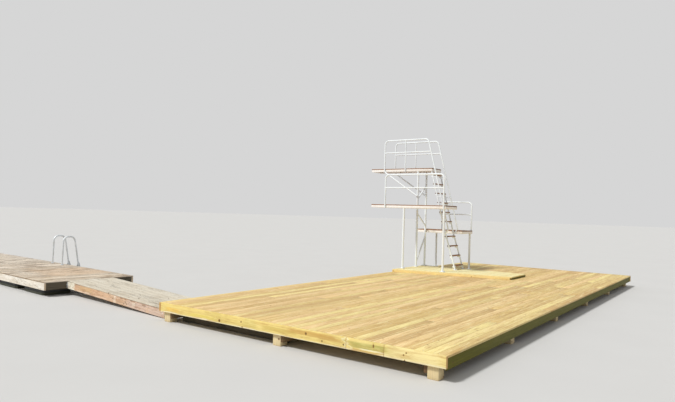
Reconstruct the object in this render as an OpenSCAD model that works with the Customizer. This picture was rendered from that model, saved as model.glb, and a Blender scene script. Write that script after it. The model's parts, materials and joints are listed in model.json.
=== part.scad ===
// Wooden bathing jetty: a new fixed deck on posts, an older gangway and floating pontoon
// in bays, and a white tubular diving tower with three platforms that stands on the deck.
// The origin is the middle of the near shore corner post's foot, at water level.
// X runs along the shore side of the deck, Y out over the water, Z up from the water.

/* [Deck] */
// Length of the deck along the shore side
deck_l = 12600; // [10500:100:16000]
// Width of the deck out over the water
deck_w = 5200; // [4600:100:8000]
// Height of the deck's walking surface over the water
deck_top = 310; // [300:5:600]
// Thickness of the deck boards
board_t = 28; // [22:1:34]
// Thickness of the rim boards
rim_t = 45; // [36:1:60]
// Height of the rim boards
rim_h = 145; // [120:5:175]
// How far the boards stand out over the shore rim
shore_overhang = 15; // [0:1:40]
// Thickness of a joist
joist_t = 45; // [36:1:60]
// Height of a joist
joist_h = 120; // [98:1:145]
// Distance between joists
joist_pitch = 600; // [400:10:700]
// Side of a square post
post_s = 148; // [98:1:200]
// Number of posts along the deck
post_columns = 6; // [3:1:9]
// Thickness of a bearer
bearer_t = 48; // [36:1:70]
// Height of a bearer
bearer_h = 98; // [73:1:120]
// Gap between a rim board and the posts behind it
post_setback = 50; // [0:1:100]
// Length of the front board at the shore end
fascia_shore_l = 820; // [400:10:1600]
// Length of the short front board in the middle
fascia_mid_l = 560; // [400:10:1400]
// Open joint between two front boards
butt_gap = 3; // [1:1:10]

/* [Old sill] */
// Length of the old sill that is left under the front edge
sill_l = 2300; // [1000:50:3000]
// Height of the old sill
sill_h = 110; // [80:5:150]
// Thickness of the old sill
sill_t = 120; // [60:5:200]
// Distance from the front posts to the old sill
sill_gap = 60; // [20:5:200]

/* [Step] */
// Distance from the deck's front edge to the step
step_run = 7670; // [7400:10:7800]
// How much farther back the step's front edge is at its shore end
step_skew = 780; // [0:10:1000]
// Depth of the step at the lake side
step_d = 1890; // [1780:10:2200]
// Length of the step in from the lake side
step_l = 3080; // [2500:10:4000]
// Height of the step over the deck
step_h = 73; // [50:1:150]
// Thickness of the step's frame boards
step_frame_t = 45; // [28:1:60]

/* [Diving tower] */
// Distance from the deck's front edge to the front posts
front_run = 8110; // [7950:10:8300]
// Distance from the deck's front edge to the near ladder frame
ladder_run = 8910; // [8700:10:8950]
// Distance between the near and the far ladder frame
frame_w = 540; // [480:10:560]
// Distance from the far ladder frame to the rear posts
rear_gap = 780; // [600:10:1200]
// Distance of the posts in from the lake side
post_inset = 70; // [70:5:200]
// Distance between the two front posts
front_span = 1235; // [800:5:1250]
// Distance between the two rear posts
rear_span = 1100; // [700:10:1150]
// Outer diameter of a post
post_d = 60; // [48:1:90]
// Outer diameter of a railing tube
rail_d = 42; // [30:1:46]
// Outer diameter of a railing's middle rail
mid_rail_d = 34; // [20:1:40]
// Bend radius of a railing tube
bend_r = 120; // [80:5:160]
// Side of a base plate
plate_s = 130; // [100:5:140]
// Thickness of a base plate
plate_t = 12; // [8:1:20]
// Distance from the top platform down to the foot of its railing's brace
brace_drop = 820; // [600:10:1000]

/* [Tower platforms] */
// Height of the lower platform over the deck
lower_h = 1170; // [1000:10:1400]
// Height of the middle platform over the deck
middle_h = 1870; // [1700:10:2100]
// Height of the top platform over the deck
top_h = 2970; // [2700:10:3400]
// How far the lower platform stands out past the deck
lower_out = 250; // [50:10:350]
// How far the middle platform stands out past the deck
middle_out = 1010; // [500:10:1100]
// How far the top platform stands out past the deck
top_out = 1540; // [1300:10:1600]
// Length of the lower platform
lower_l = 1490; // [1450:10:1800]
// Length of the middle platform
middle_l = 2370; // [2370:10:3000]
// Length of the top platform
top_l = 2070; // [2000:10:2400]
// Thickness of the platform boards
tread_board_t = 26; // [22:1:45]
// Height of a platform's steel frame
frame_h = 68; // [40:1:90]
// Width of a bar in a platform's steel frame
frame_bar = 40; // [30:1:50]
// Height of the railings over their platforms
guard_h = 850; // [700:10:1100]
// Height of the middle rail over its platform
guard_mid_h = 480; // [300:10:550]
// Distance from a platform's lake end to its railing
guard_inset = 480; // [200:10:500]
// Distance from a platform's shore end to its railing
guard_shore_in = 50; // [25:5:200]

/* [Ladders] */
// Lean of the lower ladder from upright, in degrees
lower_lean = 17.5; // [10:0.5:20]
// Lean of the upper ladder from upright, in degrees
upper_lean = 15; // [8:0.5:17]
// Depth of a tread
tread_d = 120; // [80:5:150]
// Thickness of a tread
tread_t = 30; // [20:1:40]
// Height of the first tread over the deck
first_tread = 210; // [180:5:300]
// Rise from one tread to the next
tread_rise = 270; // [220:5:320]
// Distance from the ladder's side tube to the handrail in front of it
handrail_off = 140; // [90:5:200]
// Height of the handrail's foot over the lower platform
handrail_foot = 60; // [40:5:200]

/* [Gangway] */
// Distance from the deck's front edge to the middle of the gangway
gangway_run = 670; // [650:10:3000]
// Width of the gangway
gangway_w = 1010; // [900:10:1600]
// Length of the gangway
gangway_l = 3455; // [2500:5:5000]
// Height of the gangway's deck end under the deck
gangway_drop = 135; // [60:5:140]
// Height of the gangway's side boards
gangway_side_h = 140; // [140:1:160]
// Thickness of the gangway's side boards
gangway_side_t = 45; // [36:1:60]
// Distance between the gangway's cross beams
gangway_beam_pitch = 620; // [400:10:800]
// Distance from the gangway's ends to its first and last cross beam
gangway_beam_in = 190; // [150:5:300]
// Turn of the gangway and pontoon from square to the deck, in degrees
drift = 3; // [0:0.5:3]
// Open gap between the deck and the gangway
gangway_gap = 50; // [50:1:80]
// Open gap between the gangway and the pontoon
pontoon_gap = 25; // [20:1:60]

/* [Hinges] */
// Diameter of a hinge pin
pin_d = 20; // [14:1:30]
// Clearance round a hinge pin
pin_clear = 1; // [0.5:0.5:2]
// Distance of a pin in from the gangway's end
pin_in = 55; // [50:1:70]
// Distance of a pin down from the gangway's surface
pin_down = 90; // [80:1:100]
// Thickness of a hinge lug
lug_t = 10; // [8:1:16]
// Height of a hinge lug
lug_h = 50; // [40:1:60]
// Side clearance between a lug and the gangway
lug_clear = 5; // [5:1:10]
// Width of a hinge plate
hinge_plate_w = 120; // [80:5:160]
// Height of a hinge plate
hinge_plate_h = 120; // [100:5:120]
// Thickness of a hinge plate
hinge_plate_t = 10; // [6:1:12]

/* [Pontoon] */
// Number of bays of the pontoon
bays = 3; // [1:1:6]
// Length of one bay
bay_l = 4000; // [3900:50:6000]
// Width of the pontoon
pontoon_w = 1990; // [1700:10:3000]
// Offset of the pontoon's middle line from the gangway's
pontoon_shift = 20; // [-200:5:200]
// Gap between two bays
bay_gap = 24; // [10:1:60]
// Height of the pontoon's side boards
pontoon_side_h = 150; // [140:1:150]
// Thickness of the pontoon's side and end boards
pontoon_side_t = 45; // [36:1:60]
// Height of a beam under the gangway's and the pontoon's boards
beam_h = 100; // [80:1:110]
// Width of a beam under the pontoon's boards
beam_w = 100; // [60:5:150]
// Open gap between a pontoon beam and the end boards
beam_gap = 2; // [1:1:10]
// Length of a float
float_l = 900; // [500:10:1200]
// Width of a float
float_w = 600; // [400:10:700]
// Corner radius of a float
float_r = 60; // [20:5:120]
// Distance from a float to the side board
float_in = 30; // [10:5:60]
// Number of floats along a bay
floats_per_bay = 3; // [2:1:3]
// Width of a coupling plate between two bays
coupling_w = 160; // [80:5:250]
// Height of a coupling plate between two bays
coupling_h = 110; // [60:5:120]
// Distance from the pontoon's side to the middle of a coupling plate
coupling_in = 260; // [150:5:500]

/* [Bathing ladder] */
// Distance from the pontoon's shore end to the first hoop
hoop_y = 3105; // [2000:5:3200]
// Distance between the two hoops
hoop_span = 540; // [400:10:650]
// Width of a hoop over its two legs at the boards' height
hoop_w = 430; // [400:10:600]
// Height of the hoops over the pontoon
hoop_h = 735; // [600:5:1000]
// Distance of the inner leg in from the pontoon's edge
hoop_in = 180; // [120:5:200]
// Outer diameter of a hoop tube
hoop_d = 42; // [30:1:50]
// Bend radius of a hoop tube
hoop_bend_r = 135; // [80:5:140]
// Diameter of the foot plate under a hoop's inner leg
hoop_plate_d = 90; // [70:5:120]
// Thickness of the foot plate under a hoop's inner leg
hoop_plate_t = 8; // [4:1:15]
// Height of the strut between the pontoon and a hoop's outer leg
strut_h = 40; // [20:1:50]
// Distance of the strut down from the boards
strut_down = 80; // [60:5:100]
// Height of the bathing ladder's tread over the water
bath_tread_z = 60; // [40:5:100]
// Depth of the bathing ladder's tread
bath_tread_d = 100; // [80:5:140]

/* [Hidden] */
$fn = 48;

new_wood = [0.86, 0.72, 0.42];
old_wood = [0.72, 0.66, 0.56];
dark_wood = [0.35, 0.29, 0.2];
tread_wood = [0.5, 0.33, 0.2];
white_paint = [0.9, 0.9, 0.86];
zinc = [0.6, 0.62, 0.62];
float_grey = [0.22, 0.23, 0.23];

// A cut reaches this far past the face that it opens
cut = 1;
// A bend is this much thicker than its tube, and the tube ends this far inside it
bend_swell = 1;
bend_lap = 2;

// Deck lines in plan: front, back, shore and lake edge
post_half = post_s / 2;
edge_x = -rim_t - post_half;
back_x = edge_x + deck_l;
shore_y = -shore_overhang - rim_t - post_setback - post_half;
lake_y = shore_y + deck_w;
post_pitch = (deck_l - 2 * (rim_t + post_half)) / (post_columns - 1);
post_rows = [0, shore_y + deck_w / 2, lake_y - rim_t - post_setback - post_half];
joist_count = floor((deck_l - 2 * rim_t - joist_t) / joist_pitch);

// Deck levels
joist_top = deck_top - board_t;
joist_z = joist_top - joist_h;
bearer_z = joist_z - bearer_h;
rim_z = deck_top - rim_h;

// Step lines
step_x = edge_x + step_run;
step_back = step_x + step_d;
step_top = deck_top + step_h;
step_gaps = 4;

// Tower lines in plan
front_x = edge_x + front_run;
near_x = edge_x + ladder_run;
far_x = near_x + frame_w;
rear_x = far_x + rear_gap;
tower_y = lake_y - post_inset;
lower_y1 = lake_y + lower_out;
middle_y1 = lake_y + middle_out;
top_y1 = lake_y + top_out;
lower_y0 = lower_y1 - lower_l;
middle_y0 = middle_y1 - middle_l;
top_y0 = top_y1 - top_l;

// Tower levels, and the underside of each platform's frame
lower_top = deck_top + lower_h;
middle_top = deck_top + middle_h;
top_top = deck_top + top_h;
platform_t = tread_board_t + frame_h;
lower_under = lower_top - platform_t;
middle_under = middle_top - platform_t;
top_under = top_top - platform_t;

// Planes of the railings, beside the posts; the top ones leave room for their thicker bends
rail_r = rail_d / 2;
post_r = post_d / 2;
near_rail_x = near_x - post_r - rail_r - bend_swell / 2;
far_rail_x = far_x + post_r + rail_r + bend_swell / 2;
front_rail_x = front_x - post_r - rail_r;
rear_rail_x = rear_x + post_r + rail_r;

// Share of the top platform's railing from its lake end to its middle upright
upright_share = 0.46;

// The middle platform stops short of the near railing, so that the handrail passes it
rail_clear = 5;
middle_x1 = near_rail_x - rail_r - rail_clear;

// Braces between the tall posts: height over the deck at the near and at the far post
brace_levels = [[200, 950], [1640, 1280], [2050, 2480]];

// The upper ladder ends under the top platform's shore bar, and the lower one meets its foot
ladder_head = [top_y0 + frame_bar / 2, top_under - rail_r * sin(upper_lean)];
ladder_knee = [ladder_head[0] - (ladder_head[1] - lower_top) * tan(upper_lean), lower_top];
foot_lift = rail_r * sin(lower_lean);

// Gangway and pontoon, in their own frame: y from the deck's lake side, turned by the drift
gangway_x = edge_x + gangway_run;
slope = asin(gangway_drop / gangway_l);
side_x = gangway_w / 2 - gangway_side_t;
lug_x = side_x - lug_clear - lug_t / 2;
lug_tail = lug_h / 2;

// Place [y, z] of a pin that lies a distance along the gangway
function pin_place(along) =
    [gangway_gap + along * cos(slope) + pin_down * sin(slope),
     deck_top - gangway_drop + along * sin(slope) - pin_down * cos(slope)];

shore_pin = pin_place(pin_in);
lake_pin = pin_place(gangway_l - pin_in);
pontoon_y = lake_pin[0] + pin_in + pontoon_gap;
pontoon_x0 = pontoon_shift - pontoon_w / 2;
pontoon_x1 = pontoon_shift + pontoon_w / 2;
pontoon_side_z = joist_top - pontoon_side_h;
float_top = joist_top - beam_h;
float_x = pontoon_w / 2 - pontoon_side_t - float_in - float_w / 2;

// A hoop rises nearly upright from its inner foot and leans out down to the water
hoop_x0 = pontoon_x1 - hoop_in;
hoop_x1 = hoop_x0 + hoop_w;
hoop_top = deck_top + hoop_h;
hoop_shift = 15;
hoop_crown = hoop_x0 + 2 * hoop_bend_r + 2 * hoop_shift;
hoop_lean = (hoop_x1 - hoop_crown) / hoop_h;
hoop_r = hoop_d / 2;

// Place across the pontoon of a hoop's outer leg at height z
function outer_leg(z) = hoop_x1 + hoop_lean * (deck_top - z);

// Place along the deck of the step's slanted front edge, and of its runner k, at y
function step_front(y) = step_x + step_skew * (lake_y - y) / step_l;
function runner_x(k, y) = step_front(y) + k * (step_back - step_frame_t - step_front(y)) / step_gaps;

// Shore end of bay i, and middle of its float row k
function bay_y(i) = pontoon_y + i * (bay_l + bay_gap);
function float_y(i, k) = bay_y(i) + bay_l * (k + 0.5) / floats_per_bay;

// Height of the lower and of the upper ladder's middle line, and of the handrail, as y
function lower_ladder_y(z) = ladder_knee[0] - (lower_top - z) * tan(lower_lean);
function upper_ladder_y(z) = ladder_knee[0] + (z - lower_top) * tan(upper_lean);
function handrail_y(z) = upper_ladder_y(z) - handrail_off;

function unit(v) = v / norm(v);
function heading(v) = atan2(v[1], v[0]);

module block(x0, y0, z0, x1, y1, z1) {
    translate([x0, y0, z0]) cube([x1 - x0, y1 - y0, z1 - z0]);
}

// A straight tube between two points of a plane
module plane_tube(a, b, d) {
    translate([a[0], a[1], 0]) rotate([0, 0, heading(b - a)]) rotate([0, 90, 0])
        cylinder(h = norm(b - a), d = d);
}

// A bent tube along a line of points in a plane, each inner corner an arc of radius r
module plane_pipe(pts, d, r) {
    last = len(pts) - 1;
    // Each bend: its start, end and arc's middle, its angle, and whether it turns clockwise
    bends = [for (i = [1 : last - 1])
        let (u = unit(pts[i - 1] - pts[i]), v = unit(pts[i + 1] - pts[i]), half = acos(u * v) / 2)
        [pts[i] + u * r / tan(half), pts[i] + v * r / tan(half),
         pts[i] + unit(u + v) * r / sin(half), 180 - 2 * half, u[0] * v[1] < u[1] * v[0]]];
    union() {
        for (i = [0 : last - 1]) {
            along = unit(pts[i + 1] - pts[i]) * bend_lap;
            plane_tube(i > 0 ? bends[i - 1][1] - along : pts[0],
                       i < last - 1 ? bends[i][0] + along : pts[last], d);
        }
        for (b = bends) {
            from = b[4] ? b[0] : b[1];
            translate([b[2][0], b[2][1], 0]) rotate([0, 0, heading(from - b[2])])
                rotate_extrude(angle = b[3]) translate([r, 0]) circle(d = d + bend_swell);
        }
    }
}

// Puts a plane of [y, z] points upright at a distance x along the deck
module upright(x) {
    translate([x, 0, 0]) rotate([90, 0, 90]) children();
}

module post_tube(x, y, z0, z1) {
    translate([x, y, z0]) cylinder(h = z1 - z0, d = post_d);
}

module deck_posts() {
    color(dark_wood)
    for (i = [0 : post_columns - 1], y = post_rows)
        block(i * post_pitch - post_half, y - post_half, 0,
              i * post_pitch + post_half, y + post_half, joist_z);
}

// Bearers run along the posts: on the lake side of the shore posts, else on the shore side
module deck_bearers() {
    color(dark_wood)
    for (k = [0 : 2]) {
        y0 = k == 0 ? post_rows[k] + post_half : post_rows[k] - post_half - bearer_t;
        block(edge_x + rim_t, y0, bearer_z, back_x - rim_t, y0 + bearer_t, joist_z);
    }
}

module deck_joists() {
    color(dark_wood)
    for (i = [1 : joist_count])
        block(edge_x + i * joist_pitch, shore_y + shore_overhang + rim_t, joist_z,
              edge_x + i * joist_pitch + joist_t, lake_y - rim_t, joist_top);
}

// The front edge: three boards end to end, up to the lake rim
module front_fascia() {
    joints = [shore_y, shore_y + fascia_shore_l + butt_gap,
              shore_y + fascia_shore_l + fascia_mid_l + 2 * butt_gap, lake_y - rim_t + butt_gap];
    color(new_wood)
    for (k = [0 : 2])
        block(edge_x, joints[k], rim_z, edge_x + rim_t, joints[k + 1] - butt_gap, deck_top);
}

module lake_rim() {
    color(new_wood) block(edge_x, lake_y - rim_t, rim_z, back_x, lake_y, deck_top);
}

module shore_rim() {
    y0 = shore_y + shore_overhang;
    color(new_wood)
    block(edge_x + rim_t, y0, rim_z - board_t, back_x - rim_t, y0 + rim_t, joist_top);
}

module back_rim() {
    color(new_wood)
    block(back_x - rim_t, shore_y, rim_z - board_t, back_x, lake_y - rim_t, joist_top);
}

module deck_planking() {
    color(new_wood)
    block(edge_x + rim_t, shore_y, joist_top, back_x, lake_y - rim_t, deck_top);
}

module old_sill() {
    x0 = post_half + sill_gap;
    y1 = post_rows[2] - post_half - bearer_t;
    color(dark_wood) block(x0, y1 - sill_l, 0, x0 + sill_t, y1, sill_h);
}

// A slab of the step from y0 to y1: square at its ends and back, slanted at its front
module step_slab(y0, y1, z0, z1) {
    translate([0, 0, z0]) linear_extrude(z1 - z0)
        polygon([[step_front(y0), y0], [step_back, y0], [step_back, y1], [step_front(y1), y1]]);
}

// Boards on edge between the step's two end boards, spread from its shore end to its lake end
module step_runners() {
    y0 = lake_y - step_l + step_frame_t;
    y1 = lake_y - step_frame_t;
    color(new_wood)
    for (k = [0 : step_gaps]) {
        a = runner_x(k, y0);
        b = runner_x(k, y1);
        translate([0, 0, deck_top]) linear_extrude(step_h - board_t)
            polygon([[a, y0], [a + step_frame_t, y0], [b + step_frame_t, y1], [b, y1]]);
    }
}

module step_ends() {
    color(new_wood)
    for (y = [lake_y - step_l, lake_y - step_frame_t])
        step_slab(y, y + step_frame_t, deck_top, step_top - board_t);
}

module step_planking() {
    color(new_wood) step_slab(lake_y - step_l, lake_y, step_top - board_t, step_top);
}

module base_plate(x, y, z) {
    translate([x - plate_s / 2, y - plate_s / 2, z]) cube([plate_s, plate_s, plate_t]);
}

module tower_base_plates() {
    color(zinc) {
        for (k = [0, 1]) {
            base_plate(front_x, tower_y - k * front_span, step_top);
            base_plate(rear_x, tower_y - k * rear_span, deck_top);
        }
        for (x = [near_x, far_x])
            base_plate(x, tower_y, step_top);
    }
}

module tower_front_posts() {
    color(white_paint)
    for (k = [0, 1])
        post_tube(front_x, tower_y - k * front_span, step_top + plate_t, middle_under);
}

module tower_tall_posts() {
    color(white_paint)
    for (x = [near_x, far_x])
        post_tube(x, tower_y, step_top + plate_t, top_under);
}

module tower_rear_posts() {
    color(white_paint)
    for (k = [0, 1])
        post_tube(rear_x, tower_y - k * rear_span, deck_top + plate_t, lower_under);
}

// Braces in the upright plane through the tall posts, their ends saddled to the posts
module tower_braces() {
    color(white_paint)
    for (level = brace_levels)
        difference() {
            translate([0, tower_y, 0]) rotate([90, 0, 0])
                plane_tube([near_x, deck_top + level[0]], [far_x, deck_top + level[1]], rail_d);
            for (x = [near_x, far_x])
                translate([x, tower_y, deck_top]) cylinder(h = top_h, d = post_d);
        }
}

// A platform's steel frame: two long sides and cross bars, open between them
module platform_frame(x0, y0, x1, y1, z1, fields) {
    pitch = (y1 - y0 - frame_bar) / fields;
    difference() {
        block(x0, y0, z1 - frame_h, x1, y1, z1);
        for (i = [0 : fields - 1])
            block(x0 + frame_bar, y0 + frame_bar + i * pitch, z1 - frame_h - cut,
                  x1 - frame_bar, y0 + (i + 1) * pitch, z1 + cut);
    }
}

module lower_platform_frame() {
    color(white_paint)
    platform_frame(far_x + post_r, lower_y0, rear_x + post_r, lower_y1, lower_under + frame_h, 2);
}

module lower_platform_planking() {
    color(old_wood)
    block(far_x + post_r, lower_y0, lower_under + frame_h, rear_x + post_r, lower_y1, lower_top);
}

// The middle platform's frame reaches the near tall post with one bar
module middle_platform_frame() {
    color(white_paint) {
        platform_frame(front_x - post_r, middle_y0, middle_x1, middle_y1, middle_under + frame_h, 3);
        block(middle_x1, tower_y - frame_bar / 2, middle_under,
              near_x - post_r, tower_y + frame_bar / 2, middle_under + frame_h);
    }
}

module middle_platform_planking() {
    color(old_wood)
    block(front_x - post_r, middle_y0, middle_under + frame_h, middle_x1, middle_y1, middle_top);
}

module top_platform_frame() {
    color(white_paint)
    platform_frame(near_x - post_r, top_y0, far_x + post_r, top_y1, top_under + frame_h, 3);
}

module top_platform_planking() {
    color(old_wood)
    block(near_x - post_r, top_y0, top_under + frame_h, far_x + post_r, top_y1, top_top);
}

// The top platform's railing: one bent tube that is brace, upright, top rail and ladder
// handrail, with a middle rail and a middle upright welded into it
module top_railing(x) {
    rail_y = top_y1 - guard_inset;
    rail_z = top_top + guard_h;
    mid_z = top_top + guard_mid_h;
    mid_y = rail_y + upright_share * (handrail_y(mid_z) - rail_y);
    foot_z = lower_top + handrail_foot;
    upright(x) union() {
        plane_pipe([[tower_y, top_top - brace_drop], [rail_y, top_under], [rail_y, rail_z],
                    [handrail_y(rail_z), rail_z], [handrail_y(foot_z), foot_z]], rail_d, bend_r);
        plane_tube([rail_y, mid_z], [handrail_y(mid_z), mid_z], mid_rail_d);
        plane_tube([mid_y, top_under], [mid_y, rail_z], mid_rail_d);
    }
}

module near_top_railing() {
    color(white_paint) top_railing(near_rail_x);
}

module far_top_railing() {
    color(white_paint) top_railing(far_rail_x);
}

// A guard along one side of a platform, fixed to the side of its frame
module side_guard(x, y0, y1, top) {
    foot = top - platform_t;
    upright(x) union() {
        plane_pipe([[y0, foot], [y0, top + guard_h], [y1, top + guard_h], [y1, foot]], rail_d, bend_r);
        plane_tube([y0, top + guard_mid_h], [y1, top + guard_mid_h], mid_rail_d);
    }
}

module middle_railing() {
    color(white_paint)
    side_guard(front_rail_x, middle_y0 + guard_shore_in, middle_y1 - guard_inset, middle_top);
}

module lower_railing() {
    color(white_paint)
    side_guard(rear_rail_x, lower_y0 + guard_shore_in, lower_y1 - guard_inset, lower_top);
}

// One side tube of both ladders, bent where they meet, standing on the step
module ladder_side(x) {
    upright(x)
    plane_pipe([[lower_ladder_y(step_top), step_top + foot_lift], ladder_knee, ladder_head],
               rail_d, bend_r);
}

module near_ladder_side() {
    color(white_paint) ladder_side(near_x);
}

module far_ladder_side() {
    color(white_paint) ladder_side(far_x);
}

module ladder_tread(y, z) {
    block(near_x + rail_r, y - tread_d / 2, z - tread_t, far_x - rail_r, y + tread_d / 2, z);
}

module ladder_treads() {
    lower_count = floor((lower_h - first_tread) / tread_rise);
    upper_count = floor((top_under - lower_top) / tread_rise);
    color(tread_wood) {
        for (i = [0 : lower_count]) {
            z = deck_top + first_tread + i * tread_rise;
            ladder_tread(lower_ladder_y(z), z);
        }
        for (i = [1 : upper_count]) {
            z = lower_top + i * tread_rise;
            ladder_tread(upper_ladder_y(z), z);
        }
    }
}

// Frame of everything afloat: y runs along the gangway from the deck's lake side
module afloat() {
    translate([gangway_x, lake_y, 0]) rotate([0, 0, -drift]) children();
}

// Frame of the gangway: y along its boards, z up from its walking surface
module on_gangway() {
    afloat() translate([0, gangway_gap, deck_top - gangway_drop]) rotate([slope, 0, 0]) children();
}

// Two lugs from y0 to y1 and their pins, which reach out through the gangway's side boards
module hinge_lugs(y0, y1, pin) {
    pin_l = lug_t / 2 + lug_clear + gangway_side_t;
    for (k = [-1, 1]) {
        translate([k * lug_x - lug_t / 2, y0, pin[1] - lug_h / 2]) cube([lug_t, y1 - y0, lug_h]);
        translate([k > 0 ? lug_x : -lug_x - pin_l, pin[0], pin[1]]) rotate([0, 90, 0])
            cylinder(h = pin_l, d = pin_d);
    }
}

// The deck's side of the shore hinge: the lugs end flat in plates on the lake rim
module gangway_hinge_brackets() {
    plate_z = shore_pin[1] - lug_h / 2;
    color(zinc) {
        for (k = [-1, 1])
            translate([gangway_x + k * lug_x - hinge_plate_w / 2, lake_y, plate_z])
                cube([hinge_plate_w, hinge_plate_t, hinge_plate_h]);
        intersection() {
            afloat() hinge_lugs(-side_x * sin(drift), shore_pin[0] + lug_tail, shore_pin);
            block(edge_x, lake_y + cut, 0, back_x, lake_y + gangway_l, deck_top);
        }
    }
}

module gangway_sides() {
    color(old_wood) on_gangway()
    for (k = [-1, 1])
        difference() {
            translate([k > 0 ? side_x : -gangway_w / 2, 0, -board_t - gangway_side_h])
                cube([gangway_side_t, gangway_l, gangway_side_h]);
            for (y = [pin_in, gangway_l - pin_in])
                translate([(k > 0 ? side_x : -gangway_w / 2) - cut, y, -pin_down]) rotate([0, 90, 0])
                    cylinder(h = gangway_side_t + 2 * cut, d = pin_d + 2 * pin_clear);
        }
}

module gangway_beams() {
    run = gangway_l - 2 * gangway_beam_in - gangway_side_t;
    count = floor(run / gangway_beam_pitch);
    color(dark_wood) on_gangway()
    for (i = [0 : count])
        translate([-side_x, gangway_beam_in + i * run / count, -board_t - beam_h])
            cube([2 * side_x, gangway_side_t, beam_h]);
}

module gangway_planking() {
    color(old_wood) on_gangway()
    translate([-gangway_w / 2, 0, -board_t]) cube([gangway_w, gangway_l, board_t]);
}

// The pontoon's side of the lake hinge: plates on the first bay's end board, with lugs
module pontoon_hinge_brackets() {
    color(zinc) afloat() {
        for (k = [-1, 1])
            translate([k * lug_x - hinge_plate_w / 2, pontoon_y - hinge_plate_t,
                       lake_pin[1] - hinge_plate_h / 2])
                cube([hinge_plate_w, hinge_plate_t, hinge_plate_h]);
        hinge_lugs(lake_pin[0] - lug_tail, pontoon_y - cut, lake_pin);
    }
}

module pontoon_sides() {
    color(old_wood) afloat()
    for (i = [0 : bays - 1], x = [pontoon_x0, pontoon_x1 - pontoon_side_t])
        block(x, bay_y(i), pontoon_side_z, x + pontoon_side_t, bay_y(i) + bay_l, joist_top);
}

module pontoon_ends() {
    color(old_wood) afloat()
    for (i = [0 : bays - 1], y = [bay_y(i), bay_y(i) + bay_l - pontoon_side_t])
        block(pontoon_x0 + pontoon_side_t, y, pontoon_side_z,
              pontoon_x1 - pontoon_side_t, y + pontoon_side_t, joist_top);
}

// Two beams along each bay, over its two rows of floats
module pontoon_beams() {
    color(dark_wood) afloat()
    for (i = [0 : bays - 1], s = [-1, 1]) {
        x0 = pontoon_shift + s * float_x - beam_w / 2;
        block(x0, bay_y(i) + pontoon_side_t + beam_gap, float_top,
              x0 + beam_w, bay_y(i) + bay_l - pontoon_side_t - beam_gap, joist_top);
    }
}

module pontoon_planking() {
    color(old_wood) afloat()
    for (i = [0 : bays - 1])
        block(pontoon_x0, bay_y(i), joist_top, pontoon_x1, bay_y(i) + bay_l, deck_top);
}

// Flat shape of a float, its corners round
module float_shape() {
    square([float_w - 2 * float_r, float_l], center = true);
    square([float_w, float_l - 2 * float_r], center = true);
    for (x = [-1, 1], y = [-1, 1])
        translate([x * (float_w / 2 - float_r), y * (float_l / 2 - float_r)]) circle(r = float_r);
}

module pontoon_floats() {
    color(float_grey) afloat()
    for (i = [0 : bays - 1], k = [0 : floats_per_bay - 1], s = [-1, 1])
        translate([pontoon_shift + s * float_x, float_y(i, k), 0])
            linear_extrude(float_top) float_shape();
}

module pontoon_couplings() {
    z0 = joist_top - pontoon_side_h / 2 - coupling_h / 2;
    color(zinc) afloat()
    for (i = [0 : bays - 2], s = [-1, 1])
        translate([pontoon_shift + s * (pontoon_w / 2 - coupling_in) - coupling_w / 2,
                   bay_y(i) + bay_l, z0])
            cube([coupling_w, bay_gap, coupling_h]);
}

// Two bent tubes, each from a foot plate on the boards over and down to the water
module ladder_hoops() {
    tilt = atan(hoop_shift / hoop_h);
    foot_z = hoop_r * sin(atan(hoop_lean));
    color(zinc) afloat()
    for (k = [0, 1])
        translate([0, pontoon_y + hoop_y + k * hoop_span, 0]) rotate([90, 0, 0])
            plane_pipe([[hoop_x0, deck_top + hoop_plate_t + hoop_r * sin(tilt)],
                        [hoop_x0 + hoop_shift, hoop_top], [hoop_crown, hoop_top],
                        [outer_leg(foot_z), foot_z]], hoop_d, hoop_bend_r);
}

// Foot plates of the inner legs, and struts from the side board to the outer legs
module ladder_brackets() {
    strut_z = deck_top - strut_down;
    strut_x1 = outer_leg(strut_z) - hoop_r / cos(atan(hoop_lean));
    color(zinc) afloat()
    for (k = [0, 1])
        translate([0, pontoon_y + hoop_y + k * hoop_span, 0]) {
            translate([hoop_x0, 0, deck_top]) cylinder(h = hoop_plate_t, d = hoop_plate_d);
            block(pontoon_x1, -strut_h / 2, strut_z - strut_h, strut_x1, strut_h / 2, strut_z);
        }
}

module bathing_treads() {
    x0 = outer_leg(bath_tread_z + tread_t / 2) - bath_tread_d / 2;
    y0 = pontoon_y + hoop_y + hoop_r;
    color(tread_wood) afloat()
    block(x0, y0, bath_tread_z, x0 + bath_tread_d, y0 + hoop_span - hoop_d, bath_tread_z + tread_t);
}

deck_posts();
deck_bearers();
deck_joists();
front_fascia();
lake_rim();
shore_rim();
back_rim();
deck_planking();
old_sill();
step_runners();
step_ends();
step_planking();
tower_base_plates();
tower_front_posts();
tower_tall_posts();
tower_rear_posts();
tower_braces();
lower_platform_frame();
lower_platform_planking();
middle_platform_frame();
middle_platform_planking();
top_platform_frame();
top_platform_planking();
near_top_railing();
far_top_railing();
middle_railing();
lower_railing();
near_ladder_side();
far_ladder_side();
ladder_treads();
gangway_hinge_brackets();
gangway_sides();
gangway_beams();
gangway_planking();
pontoon_hinge_brackets();
pontoon_sides();
pontoon_ends();
pontoon_beams();
pontoon_planking();
pontoon_floats();
pontoon_couplings();
ladder_hoops();
ladder_brackets();
bathing_treads();
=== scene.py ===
"""Looks of a wooden bathing jetty: a new plank deck with a low step, a white tube diving tower,
an old gangway, and a floating pontoon in bays with ladder hoops.

Lengths are in metres, in the part's own frame. Every timber, float, screw and weld is a surface
worked out as whole arrays: a section or profile carried along a line, or a ring carried round one.
"""
import json
import math

import bpy
import numpy as np
from mathutils import Matrix, Vector

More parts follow.
